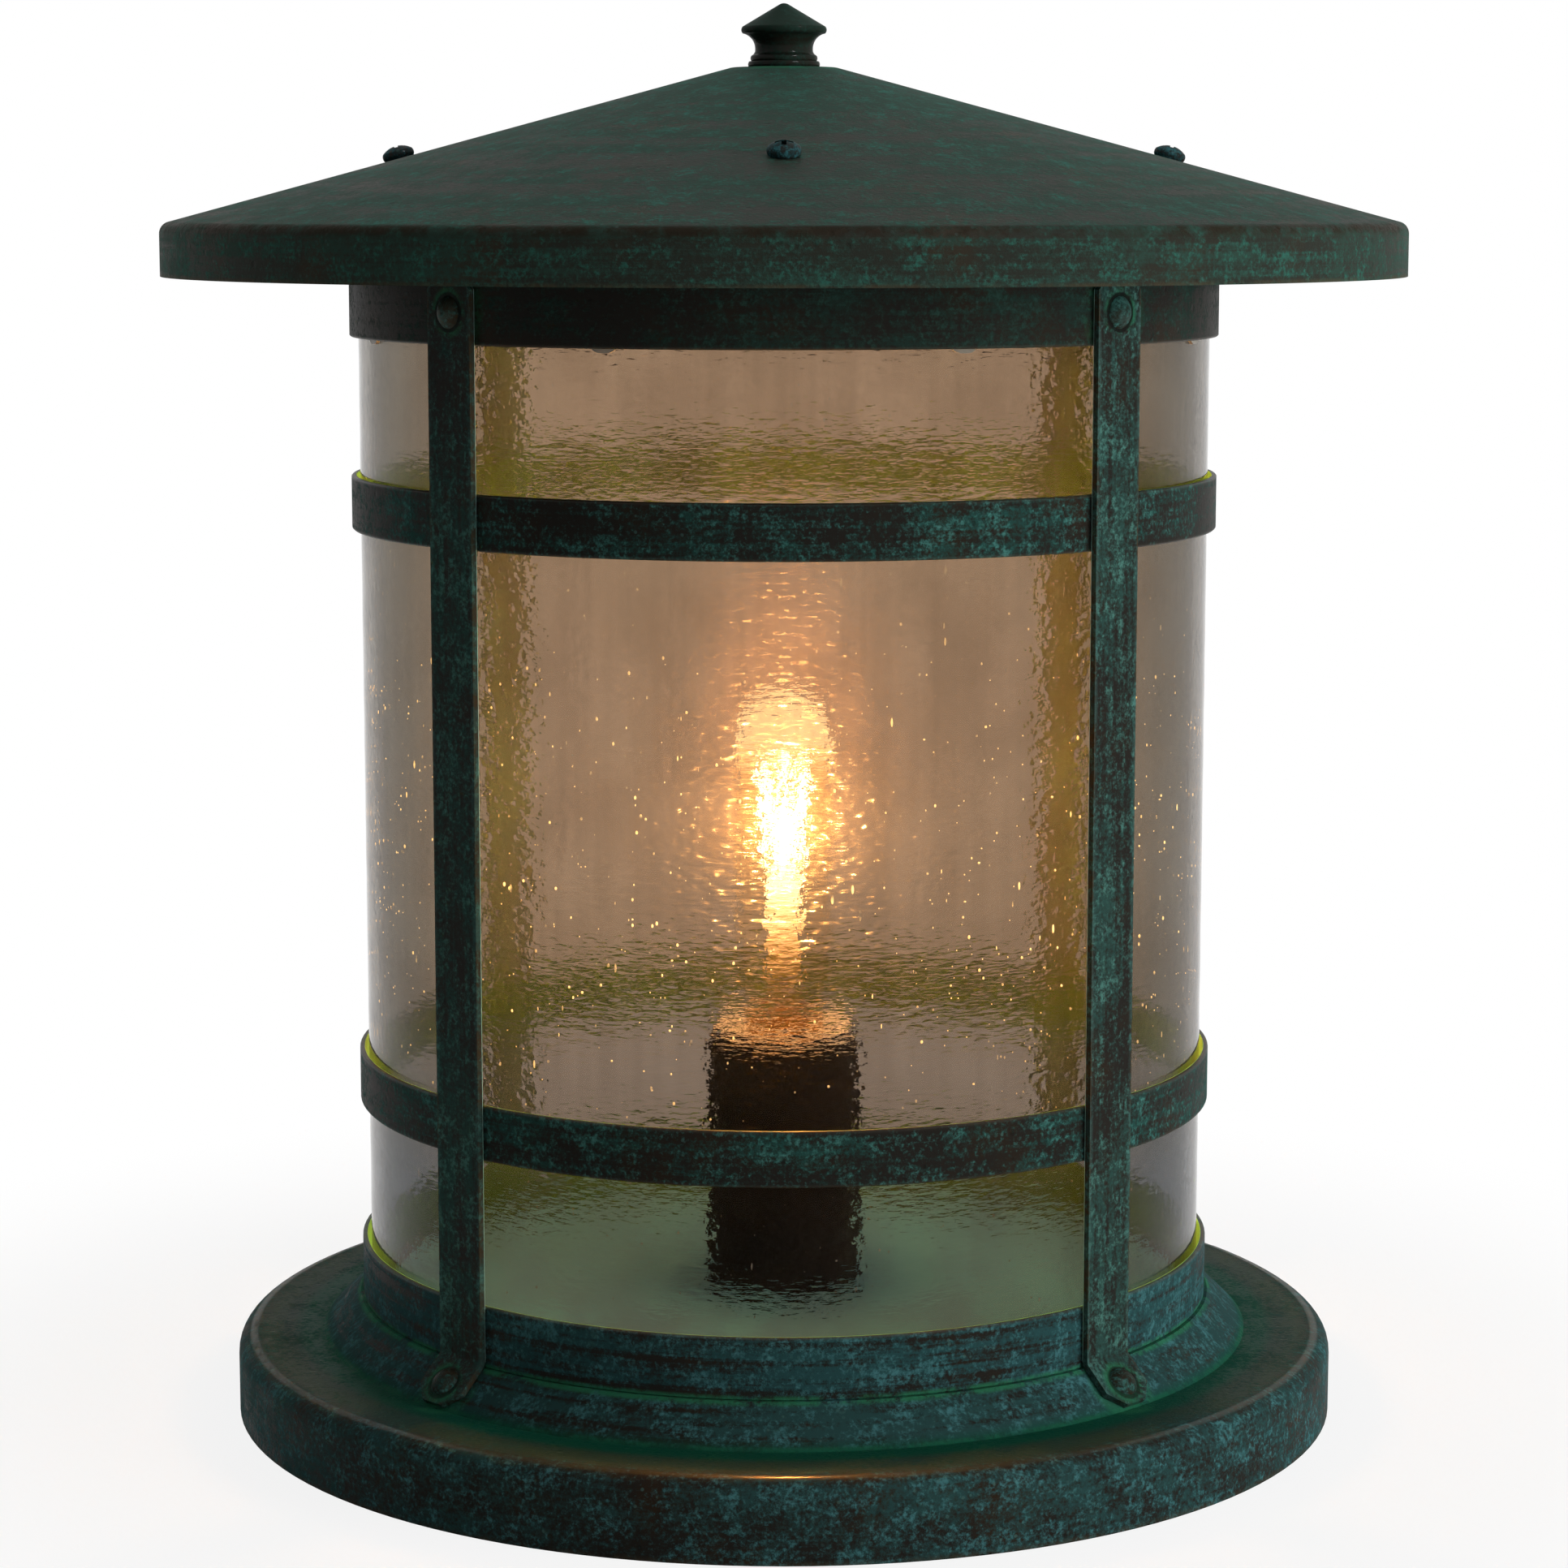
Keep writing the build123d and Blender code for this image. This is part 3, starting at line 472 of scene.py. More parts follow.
@dataclass(frozen=True)
class Verdigris(Finish):
    """Sheet metal with a dark patina: near-black green, teal bloom, brown breaks, droplet rings and grain."""

    name: str
    dark: Colour = (0.014, 0.0125, 0.0102)
    bloom: Colour = (0.014, 0.05, 0.042)
    bright: Colour = (0.045, 0.145, 0.125)
    brown: Colour = (0.022, 0.014, 0.008)
    cover: float = 0.5
    streak: float = 0.3
    grain: Grain = Grain.AROUND
    brownness: float = 0.55
    rough: Span = (0.42, 0.72)
    gloss: float = 0.014
    coat: float = 0.03
    coat_rough: float = 0.2
    relief: float = 0.5
    speckle: float = 0.3
    inside: float = 0.0
    lining_and_lamplight: Colour = OLIVE_AND_LAMPLIGHT
    rings: tuple[Ring, ...] = ()
    spots: tuple[Spot, ...] = ()
    zones: tuple[Zone, ...] = ()
    worn: tuple[Ring, ...] = ()
    strap_edge: float = 0.0
    shift: float = 0.0

    def _cover(self, bench: Bench, place: Place) -> tuple[Field, Field]:
        """How thick the bloom lies.

        Clouds of 70 mm and 18 mm, brushed streaks and 2 mm grain are added up, shifted in the zones.

        Args:
            bench: Bench of the material.
            place: Where the point lies.

        Returns:
            The bloom between 0 and 1, and the fine grain.
        """
        patch = bench.shifted(place.vector, (self.shift, 0.0, 0.0))
        clouds = bench.noise(patch, 13.0, 3.0)
        mottle = bench.noise(patch, 66.0, 8.0, 0.78)
        grain = bench.noise(place.vector, 640.0, 4.0, 0.75)
        brushed = bench.drawn_noise(place.vector, self.grain.value, 5.0, 0.62)
        total = clouds * 0.35 + mottle * 0.75 + (brushed - 0.5) * (2.2 * self.streak) + (grain - 0.5) * 0.75
        for zone in self.zones:
            inside = place.radius.within(zone.radius, zone.soft) * place.z.within(zone.level, zone.soft)
            total = total + inside * (zone.lift + (brushed - 0.5) * (2.2 * zone.streak))
        middle = 0.78 - 0.46 * self.cover
        return total.ramp(middle - 0.15, middle + 0.15), grain

    def _marks(self, bench: Bench, place: Place, colour: Field, grain: Field) -> Field:
        """Lay the rings, rivet marks and strap edges over the colour; near-black rivet marks are painted
        shade.

        Args:
            bench: Bench of the material.
            place: Where the point lies.
            colour: Colour underneath.
            grain: Fine grain that breaks the marks up.

        Returns:
            The colour with its marks.
        """
        patches = (bench.noise(place.vector, 75.0, 4.0, 0.7) + (grain - 0.5) * 0.5).ramp(0.36, 0.58)
        for ring in self.rings:
            line = place.near_ring(ring.radius, ring.level).ramp(ring.width, ring.width * 0.25)
            colour = bench.mix(line * (patches if ring.broken else 1.0) * ring.share, colour, ring.colour)
        for spot in self.spots:
            distance = place.near_strap_point(spot.out, spot.level)
            band = distance.ramp(spot.outer, spot.inner) * (patches if spot.broken else 1.0)
            colour = bench.mix(band * spot.share, colour, spot.colour)
        if self.strap_edge > 0:
            side = abs(place.strap_side)
            edge = side.ramp(*STRAP_EDGE) * patches
            colour = bench.mix(edge * self.strap_edge, colour, PALE_TEAL)
            worn = side.ramp(*STRAP_CORNER) * (1 - patches)
            colour = bench.mix(worn * 0.7, colour, BRONZE)
        return colour

    def shader(self, bench: Bench, place: Place) -> Field:
        """Layer the patina, from the dark metal up to the inner faces' colour, brightened partly as painted
        lamplight, and the worn edges.

        Args:
            bench: Bench of the material.
            place: Where a point of the surface lies.

        Returns:
            The shader.
        """
        bloom, grain = self._cover(bench, place)
        tone = bench.noise(place.vector, 31.0, 5.0, 0.6)
        under = bench.mix(tone.ramp(0.5, 0.68) * self.brownness, self.dark, self.brown)
        crust = bench.noise(bench.shifted(place.vector, (0.3, 0.7, 0.1)), 120.0, 6.0, 0.7)
        over = bench.mix((crust + (grain - 0.5) * 0.9).ramp(0.46, 0.76), self.bloom, self.bright)
        colour = bench.mix(bloom, under, over)
        dot = bench.cells(place.vector, 430.0)
        speck = dot.ramp(0.3, 0.16) * bench.chance(dot).ramp(0.7, 0.76) * tone.ramp(0.4, 0.62)
        colour = bench.mix(speck * self.speckle, colour, PALE_TEAL)
        drop = bench.cells(place.vector, 170.0)
        halo = abs(drop - 0.22).ramp(0.09, 0.03) * bench.chance(drop).ramp(0.86, 0.9)
        colour = bench.mix(halo * (grain + 0.1) * bloom * (0.75 * self.speckle), colour, PALE_TEAL)
        pit = bench.cells(bench.shifted(place.vector, (0.5, 0.2, 0.9)), 210.0)
        pitted = pit.ramp(0.26, 0.1) * bench.chance(pit).ramp(0.66, 0.72)
        colour = bench.mix(pitted * (1.3 * self.speckle), colour, SOOT_AND_SHADE)
        colour = self._marks(bench, place, colour, grain)
        # Inner faces take a bright yellow-green: partly their own colour, partly painted lamplight from the
        # lamp inside.
        if self.inside > 0:
            red, green, blue = self.lining_and_lamplight
            lining_and_lamplight = bench.mix(tone.ramp(0.35, 0.65), self.lining_and_lamplight, (red * 0.85, green * 0.66, blue * 0.75))
            depth = place.strap_out if self.strap_edge > 0 else place.radius
            colour = bench.mix(depth.ramp(self.inside + LINING_AND_LAMPLIGHT_STEP, self.inside), colour, lining_and_lamplight)
        rough = self.rough[0] + bloom * (self.rough[1] - self.rough[0]) + (grain - 0.5) * 0.16
        relief = bloom * 0.35 + grain * 0.5 + speck * 0.3 - pitted * 0.5
        shine = (1 - bloom) * self.coat
        for ring in self.worn:
            line = place.near_ring(ring.radius, ring.level).ramp(ring.width, ring.width * 0.3)
            colour = bench.mix(line * (0.1 + tone * 0.3), colour, ring.colour)
            shine = shine.most(line * ring.share)
            relief = relief * (1 - line * 0.85)
        return bench.principled(
            Base_Color=colour,
            Roughness=rough,
            Specular_IOR_Level=self.gloss,
            Coat_Weight=shine,
            Coat_Roughness=self.coat_rough,
            Normal=bench.bump(relief, self.relief, 0.0004),
        )


@dataclass(frozen=True)
class Wrought(Finish):
    """A plain metal, glaze or rubber in two tones, with grain, fine scratches and dull patches."""

    name: str
    light: Colour
    dark: Colour
    metallic: float = 0.0
    rough: Span = (0.3, 0.5)
    patch: float = 60.0
    grain: float = 900.0
    relief: float = 0.15
    scratch: float = 0.3
    specular: float = 0.5

    def shader(self, bench: Bench, place: Place) -> Field:
        """Mix the two tones by patches, and scratch them.

        Args:
            bench: Bench of the material.
            place: Where a point of the surface lies.

        Returns:
            The shader.
        """
        patches = bench.noise(place.vector, self.patch, 5.0, 0.6)
        grain = bench.noise(place.vector, self.grain, 3.0, 0.6)
        lines = bench.drawn_noise(place.vector, (1400.0, 1400.0, 70.0), 2.0)
        scratch = lines.ramp(0.6, 0.72) * self.scratch
        dull = (patches + (grain - 0.5) * 0.4).ramp(0.38, 0.66)
        colour = bench.mix(dull, self.light, self.dark)
        colour = bench.mix(scratch, colour, self.light)
        rough = self.rough[0] + dull * (self.rough[1] - self.rough[0]) + scratch * 0.1
        return bench.principled(
            Base_Color=colour,
            Roughness=rough,
            Metallic=self.metallic,
            Specular_IOR_Level=self.specular,
            Normal=bench.bump(grain + scratch, self.relief, 0.0002),
        )


@dataclass(frozen=True)
class SeedyGlass(Finish):
    """Rolled glass with a smoky tint, drag lines, fine ripples and a little haze that the lamp lights up."""

    name: str = "seedy_glass"
    thin: Colour = (0.6, 0.485, 0.38)
    thick: Colour = (0.46, 0.365, 0.28)
    haze: Colour = (0.8, 0.68, 0.55)
    haze_share: float = 0.005
    glare_share: float = 0.005
    glow_share: float = 0.012
    mirror_share: float = 0.04
    grazing: Colour = (0.58, 0.69, 0.785)
    outline: Colour = (0.27, 0.23, 0.2)
    foot: Colour = (0.89, 1.03, 1.26)
    reflection: Colour = (0.12, 0.1, 0.09)
    shadow: Colour = (0.8, 0.76, 0.7)
    smoke_level: Span = (0.19, 0.06)
    foot_level: Span = (0.125, 0.085)
    mirror_level: Span = (0.15, 0.18)
    inner_wall: Span = (0.1382, 0.1378)
    grazing_turn: Span = (0.2, 0.62)
    outline_turn: Span = (0.66, 0.88)

    def shader(self, bench: Bench, place: Place) -> Field:
        """Tint the glass, ripple it, and lay glare, glow, haze and the inner wall's mirror over it.

        Args:
            bench: Bench of the material.
            place: Where a point of the surface lies.

        Returns:
            The shader.
        """
        wavelet = bench.drawn_noise(place.vector, (240.0, 240.0, 1050.0), 2.0)
        wobble = bench.drawn_noise(place.vector, (400.0, 400.0, 340.0), 2.0, 0.5)
        ripple = bench.drawn_noise(place.vector, (110.0, 110.0, 640.0), 0.0)
        dimple = bench.drawn_noise(place.vector, (270.0, 270.0, 480.0), 0.0)
        drag = bench.drawn_noise(place.vector, (210.0, 210.0, 7.0), 3.0)
        cord = bench.noise(place.vector, 34.0)
        smoke = place.z.ramp(*self.smoke_level) * 0.35
        tint = bench.mix((drag * 0.5 + cord * 0.6 + smoke).ramp(0.36, 0.78), self.thin, self.thick)
        turned = bench.facing()
        edge_on = turned.ramp(*self.grazing_turn)
        tint = bench.dim(tint, edge_on, self.grazing)
        tint = bench.dim(tint, turned.ramp(*self.outline_turn), self.outline)
        tint = bench.dim(tint, place.z.ramp(*self.foot_level), self.foot)
        waves = wavelet * 0.6 + wobble * 0.4 + dimple * 0.5
        normal = bench.bump(waves * (1 - edge_on * 0.93), 0.6, 0.0008)
        glass = bench.principled(
            Base_Color=tint,
            Roughness=0.02 + drag * 0.04,
            Transmission_Weight=1.0,
            IOR=1.15,
            Specular_Tint=self.reflection,
            Normal=normal,
        )
        ragged = bench.bump(ripple * 0.7 + dimple * 0.6, 1.0, 0.0024)
        for share, rough, face in ((self.glare_share, 0.5, normal), (self.glow_share, 0.18, ragged)):
            glare = bench.principled(
                Base_Color=tint,
                Roughness=rough + wobble * 0.1,
                Transmission_Weight=1.0,
                IOR=1.45,
                Specular_IOR_Level=0.0,
                Normal=face,
            )
            glass = bench.mix_shader(share, glass, glare)
        veil_front = bench.node("ShaderNodeBsdfDiffuse", inputs={"Color": self.haze})
        veil_back = bench.node("ShaderNodeBsdfTranslucent", inputs={"Color": self.haze})
        veil = bench.mix_shader(0.5, veil_front, veil_back)
        hazy = bench.mix_shader(cord.ramp(0.1, 0.9) * self.haze_share, glass, veil)
        mirror = bench.principled(Base_Color=tint, Roughness=0.1 + drag * 0.1, Metallic=1.0, Normal=normal)
        polished = place.radius.ramp(*self.inner_wall) * place.z.ramp(*self.mirror_level)
        hazy = bench.mix_shader(polished * self.mirror_share, hazy, mirror)
        return bench.let_light_through(hazy, self.shadow)


@dataclass(frozen=True)
class PaintedGlintSeeds(Finish):
    """Small bubbles in the glass, with painted glints: seeds near the lamp's level glow golden by emission
    and turn paler.
    """

    name: str = "seeds_with_painted_glints"
    glint_gold: Colour = (1.0, 0.6, 0.2)
    glint_pale: Colour = (0.9, 0.72, 0.45)
    grey: Colour = (0.2, 0.17, 0.14)
    unlit: Colour = (0.05, 0.04, 0.03)
    lamp_level: float = 0.195
    reach: float = 0.12

    def shader(self, bench: Bench, place: Place) -> Field:
        """Paint glints on the seeds that lie near the lamp's level, some more than others.

        Args:
            bench: Bench of the material.
            place: Where a point of the surface lies.

        Returns:
            The shader.
        """
        # Painted glints: seeds near the lamp's level glow golden by emission and turn paler, standing in for
        # lamp light caught in them.
        far = abs(place.z - self.lamp_level) / self.reach
        twinkle = bench.noise(place.vector, 160.0, 2.0).ramp(0.36, 0.6)
        lit = far.ramp(1.0, 0.1) * twinkle
        return bench.principled(
            Base_Color=bench.mix(lit, self.grey, self.glint_pale),
            Roughness=0.15 + twinkle * 0.1,
            Specular_IOR_Level=0.05,
            Emission_Color=bench.mix(lit, self.unlit, self.glint_gold),
            Emission_Strength=2.4,
            Alpha=0.25 + lit * 0.7,
        )


@dataclass(frozen=True)
class LampGlass(Finish):
    """Clear lamp glass that is dark at the first of two levels and glows amber towards the second."""

    name: str
    amber: Colour = (1.0, 0.47, 0.12)
    core: Colour = (1.0, 0.86, 0.55)
    unlit: Colour = (0.012, 0.004, 0.001)
    shadow: Colour = (0.97, 0.95, 0.9)
    lit: Span = (0.203, 0.224)
    strength: float = 0.3

    def shader(self, bench: Bench, place: Place) -> Field:
        """Let clear glass glow from the unlit end to the core, along a slightly swirled level.

        Args:
            bench: Bench of the material.
            place: Where a point of the surface lies.

        Returns:
            The shader.
        """
        swirl = bench.noise(place.vector, 90.0, 3.0)
        near = (place.z + (swirl - 0.5) * 0.012).ramp(*self.lit)
        glow = bench.mix(near, self.unlit, bench.mix(near**2, self.amber, self.core))
        glass = bench.principled(
            Base_Color=bench.mix(swirl, (1.0, 0.97, 0.9), (0.95, 0.9, 0.8)),
            Roughness=0.04 + swirl * 0.06,
            Transmission_Weight=1.0,
            IOR=1.06,
            Emission_Color=glow,
            Emission_Strength=self.strength,
        )
        return bench.let_light_through(glass, self.shadow)


@dataclass(frozen=True)
class HotWire(Finish):
    """Wire that glows white where it is hottest and orange towards its ends."""

    name: str
    hot: Colour = (1.0, 0.9, 0.66)
    warm: Colour = (1.0, 0.45, 0.1)
    level: float = 0.198
    half: float = 0.018
    strength: float = 11.0

    def shader(self, bench: Bench, place: Place) -> Field:
        """Heat the wire about its level, with the coils' banding at its ends.

        Args:
            bench: Bench of the material.
            place: Where a point of the surface lies.

        Returns:
            The shader.
        """
        coils = bench.drawn_noise(place.vector, (60.0, 60.0, 2600.0), 1.0)
        end = (abs(place.z - self.level) / self.half + (coils - 0.5) * 0.3).ramp(0.75, 1.1)
        wire = bench.principled(
            Base_Color=bench.mix(coils, (0.3, 0.28, 0.26), (0.6, 0.55, 0.5)),
            Roughness=0.35 + coils * 0.2,
            Metallic=0.9,
            Emission_Color=bench.mix(end, self.hot, self.warm),
            Emission_Strength=self.strength,
        )
        return bench.let_light_through(wire, WHITE)


@dataclass(frozen=True)
class ClearPad(Finish):
    """Small clear silicone pads, slightly yellowed and dusty."""

    name: str = "clear_pad"

    def shader(self, bench: Bench, place: Place) -> Field:
        """Dust the silicone.

        Args:
            bench: Bench of the material.
            place: Where a point of the surface lies.

        Returns:
            The shader.
        """
        dust = bench.noise(place.vector, 420.0, 4.0, 0.65)
        return bench.principled(
            Base_Color=bench.mix(dust, (0.42, 0.38, 0.3), (0.26, 0.24, 0.2)),
            Roughness=0.25 + dust * 0.3,
            Transmission_Weight=0.6,
            IOR=1.41,
            Normal=bench.bump(dust, 0.2, 0.0003),
        )


@dataclass(frozen=True)
class FloorPaper(Finish):
    """Pale paper floor, white to the eye, that keeps the lantern's shadow about its foot."""

    name: str = "studio_floor"
    light: Colour = (0.72, 0.72, 0.72)
    dark: Colour = (0.7092, 0.7092, 0.7056)
    shadow_share: float = 0.14
    shadow_end: Span = (0.22, 0.45)

    def shader(self, bench: Bench, place: Place) -> Field:
        """Show white to the rays that see the background, and paper to the rest.

        Args:
            bench: Bench of the material.
            place: Where a point of the surface lies.

        Returns:
            The shader.
        """
        paper = bench.mix(bench.noise(place.vector, 9.0), self.light, self.dark)
        sheet = bench.principled(Base_Color=paper, Roughness=0.9, Specular_IOR_Level=0.1)
        white = bench.node("ShaderNodeEmission", inputs={"Color": WHITE, "Strength": 1.0})
        whiteness = 1 - self.shadow_share + place.radius.ramp(*self.shadow_end) * self.shadow_share
        return bench.mix_shader(bench.background_rays() * whiteness, sheet, white)


def new_piece(name: str, points: np.ndarray, faces: Sequence[np.ndarray]) -> bpy.types.Object:
    """Put a computed surface into the scene as a smooth-shaded object at the origin.

    Args:
        name: Name of the piece.
        points: Vertices, one row each, in metres.
        faces: Arrays of vertex numbers, one row a face, one array for each number of corners.

    Returns:
        The object.
    """
    mesh = bpy.data.meshes.new(name)
    rows = [row for block in faces for row in block.tolist()]
    mesh.from_pydata(points.tolist(), [], rows)
    mesh.shade_smooth()
    mesh.update()
    piece = bpy.data.objects.new(name, mesh)
    bpy.context.scene.collection.objects.link(piece)
    return piece


def loop_faces(rows: int, columns: int) -> np.ndarray:
    """Quads of a grid that closes on itself both ways, such as a tube's wall.

    Args:
        rows: Points along the first parameter.
        columns: Points along the second parameter.

    Returns:
        One row of four vertex numbers for each quad.
    """
    first, second = np.meshgrid(np.arange(rows), np.arange(columns), indexing="ij")
    after, beside = (first + 1) % rows, (second + 1) % columns
    here, there = first * columns, after * columns
    corners = [here + second, there + second, there + beside, here + beside]
    return np.stack([corner.ravel() for corner in corners], axis=1)


def put_on(names: Sequence[str], finish: Finish) -> None:
    """Give several CAD nodes one finish.

    Args:
        names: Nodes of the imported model.
        finish: Finish to make once and assign to all of them.
    """
    material = finish.make()
    for name in names:
        node = frame["nodes"][name]
        node.data.materials.clear()
        node.data.materials.append(material)
        LOG.info("%s wears %s", name, material.name)


class SubAssembly:
    """A group of pieces that is built and dressed together."""

    def build(self) -> None:
        """Make the new pieces. A group that is all CAD has none."""

    def dress(self) -> None:
        """Give the pieces and CAD nodes their finishes."""


@dataclass
class BasePan(SubAssembly):
    """Spun base: rim, flat, streaked step and the floor under the glass."""

    step_top: Span = (0.1435, 0.038)
    step_foot: Span = (0.156, 0.026)
    flat: Span = (0.1685, 0.026)
    flat_root: Span = (0.1595, 0.026)
    rim_shine: Span = (0.1794, 0.0258)
    rim_foot: Span = (0.1845, 0.0)
    rivet: Span = FOOT_RIVET
    floor_radius: float = 0.1375
    step_zone: tuple[Span, Span] = ((0.1425, 0.1568), (0.0268, 0.039))
    flat_zone: tuple[Span, Span] = ((0.157, 0.1765), (0.0245, 0.028))

    def dress(self) -> None:
        """Give the base its patina, thick and streaked on the step, thin and brown on the flat."""
        pan = Verdigris(
            "verdigris_base",
            bloom=(0.017, 0.047, 0.045),
            bright=(0.045, 0.14, 0.145),
            cover=0.5,
            streak=0.16,
            brownness=0.85,
            coat=0.0,
            inside=self.floor_radius,
            # Floor under the glass: its own blue-green, brightened partly as painted lamplight.
            lining_and_lamplight=(0.164, 0.432, 0.53),
            zones=(
                Zone(*self.step_zone, 0.1, 0.0015, 0.3),
                Zone(*self.flat_zone, -0.1, 0.003),
            ),
            rings=(
                Ring(*self.step_top, 0.0022, GREEN, 0.85),
                Ring(*self.step_foot, 0.0022, GREEN, 0.8),
                Ring(*self.flat, 0.014, (0.017, 0.041, 0.029), 0.75, False),
                Ring(*self.flat_root, 0.008, (0.003, 0.049, 0.029), 0.9, False),
                Ring(*self.rim_foot, 0.002, BRONZE, 0.4),
            ),
            spots=(Spot(*self.rivet, 0.0108, 0.0135, GREEN, 0.5),),
            worn=(Ring(*self.rim_shine, 0.0018, BRONZE, 0.22),),
        )
        put_on(["base_pan"], pan)


@dataclass
class Cage(SubAssembly):
    """Gallery ring, hoops, band, straps and rivets around the glass."""

    radius: float = 0.1425
    strip_inside: float = 0.14098
    strap_inside: float = 0.14265
    gallery: Span = (0.038, 0.0577)
    lower_hoop: Span = (0.1048, 0.1222)
    upper_hoop: Span = (0.2955, 0.3129)
    band: Span = (0.3581, 0.4087)
    top_rivet: Span = (0.1446, 0.3681)
    foot_rivet: Span = FOOT_RIVET

    def _worn(self, *levels: float) -> tuple[Ring, ...]:
        """Worn shiny edges of a hoop or band at some levels."""
        return tuple(Ring(self.radius - 0.0006, level, 0.0013, BRONZE, 0.2) for level in levels)

    def dress(self) -> None:
        """Give the strips their patina, brushed along each strip."""
        gallery = Verdigris(
            "verdigris_gallery",
            bloom=(0.017, 0.052, 0.053),
            bright=(0.045, 0.135, 0.14),
            cover=0.58,
            streak=0.45,
            brownness=0.4,
            inside=self.strip_inside,
            rings=(Ring(self.radius, self.gallery[0], 0.002, GREEN, 0.85),),
            worn=self._worn(self.gallery[1]),
        )
        put_on(["gallery_ring"], gallery)
        hoops = (("hoop_lower", 0.42, self.lower_hoop), ("hoop_upper", 0.36, self.upper_hoop))
        for node, cover, level in hoops:
            hoop = Verdigris(
                f"verdigris_{node}",
                cover=cover,
                streak=0.22,
                brownness=0.6,
                coat=0.01,
                inside=self.strip_inside,
                shift=0.37,
                worn=self._worn(*level),
            )
            put_on([node], hoop)
        band = Verdigris(
            "verdigris_band",
            bloom=(0.013, 0.028, 0.022),
            bright=(0.02, 0.05, 0.038),
            cover=0.36,
            streak=0.22,
            speckle=0.1,
            worn=self._worn(self.band[0]),
            spots=(Spot(*self.top_rivet, 0.011, 0.016, GREEN, 0.35),),
        )
        put_on(["upper_band"], band)
        straps = Verdigris(
            "verdigris_straps",
            bloom=(0.02, 0.05, 0.042),
            bright=(0.055, 0.145, 0.12),
            cover=0.46,
            streak=0.25,
            grain=Grain.UPRIGHT,
            strap_edge=0.2,
            inside=self.strap_inside,
            # Inner faces of the straps: light green, partly painted lamplight.
            lining_and_lamplight=(0.5, 1.0, 0.82),
            spots=(
                Spot(*self.top_rivet, 0.006, 0.0085, GREEN, 0.7),
                # Near-black ring at the foot of each top rivet head: painted shade in the crevice.
                Spot(*self.top_rivet, 0.0058, 0.0066, SOOT_AND_SHADE, 0.9, False),
                Spot(*self.foot_rivet, 0.006, 0.009, GREEN, 0.8),
                # The same painted shade about each foot rivet head.
                Spot(*self.foot_rivet, 0.0058, 0.0066, SOOT_AND_SHADE, 0.75, False),
            ),
        )
        put_on(["strap_front_right", "strap_back_right", "strap_back_left", "strap_front_left"], straps)
        rivets = Verdigris(
            "bronze_rivets",
            dark=(0.016, 0.014, 0.009),
            brown=(0.045, 0.031, 0.017),
            cover=0.36,
            streak=0.0,
            grain=Grain.CLOUD,
            brownness=0.95,
            rough=(0.32, 0.62),
            spots=(Spot(*self.top_rivet, 0.0044, 0.0054, PALE_TEAL, 0.2),),
        )
        put_on(["strap_top_rivets", "strap_foot_rivets"], rivets)


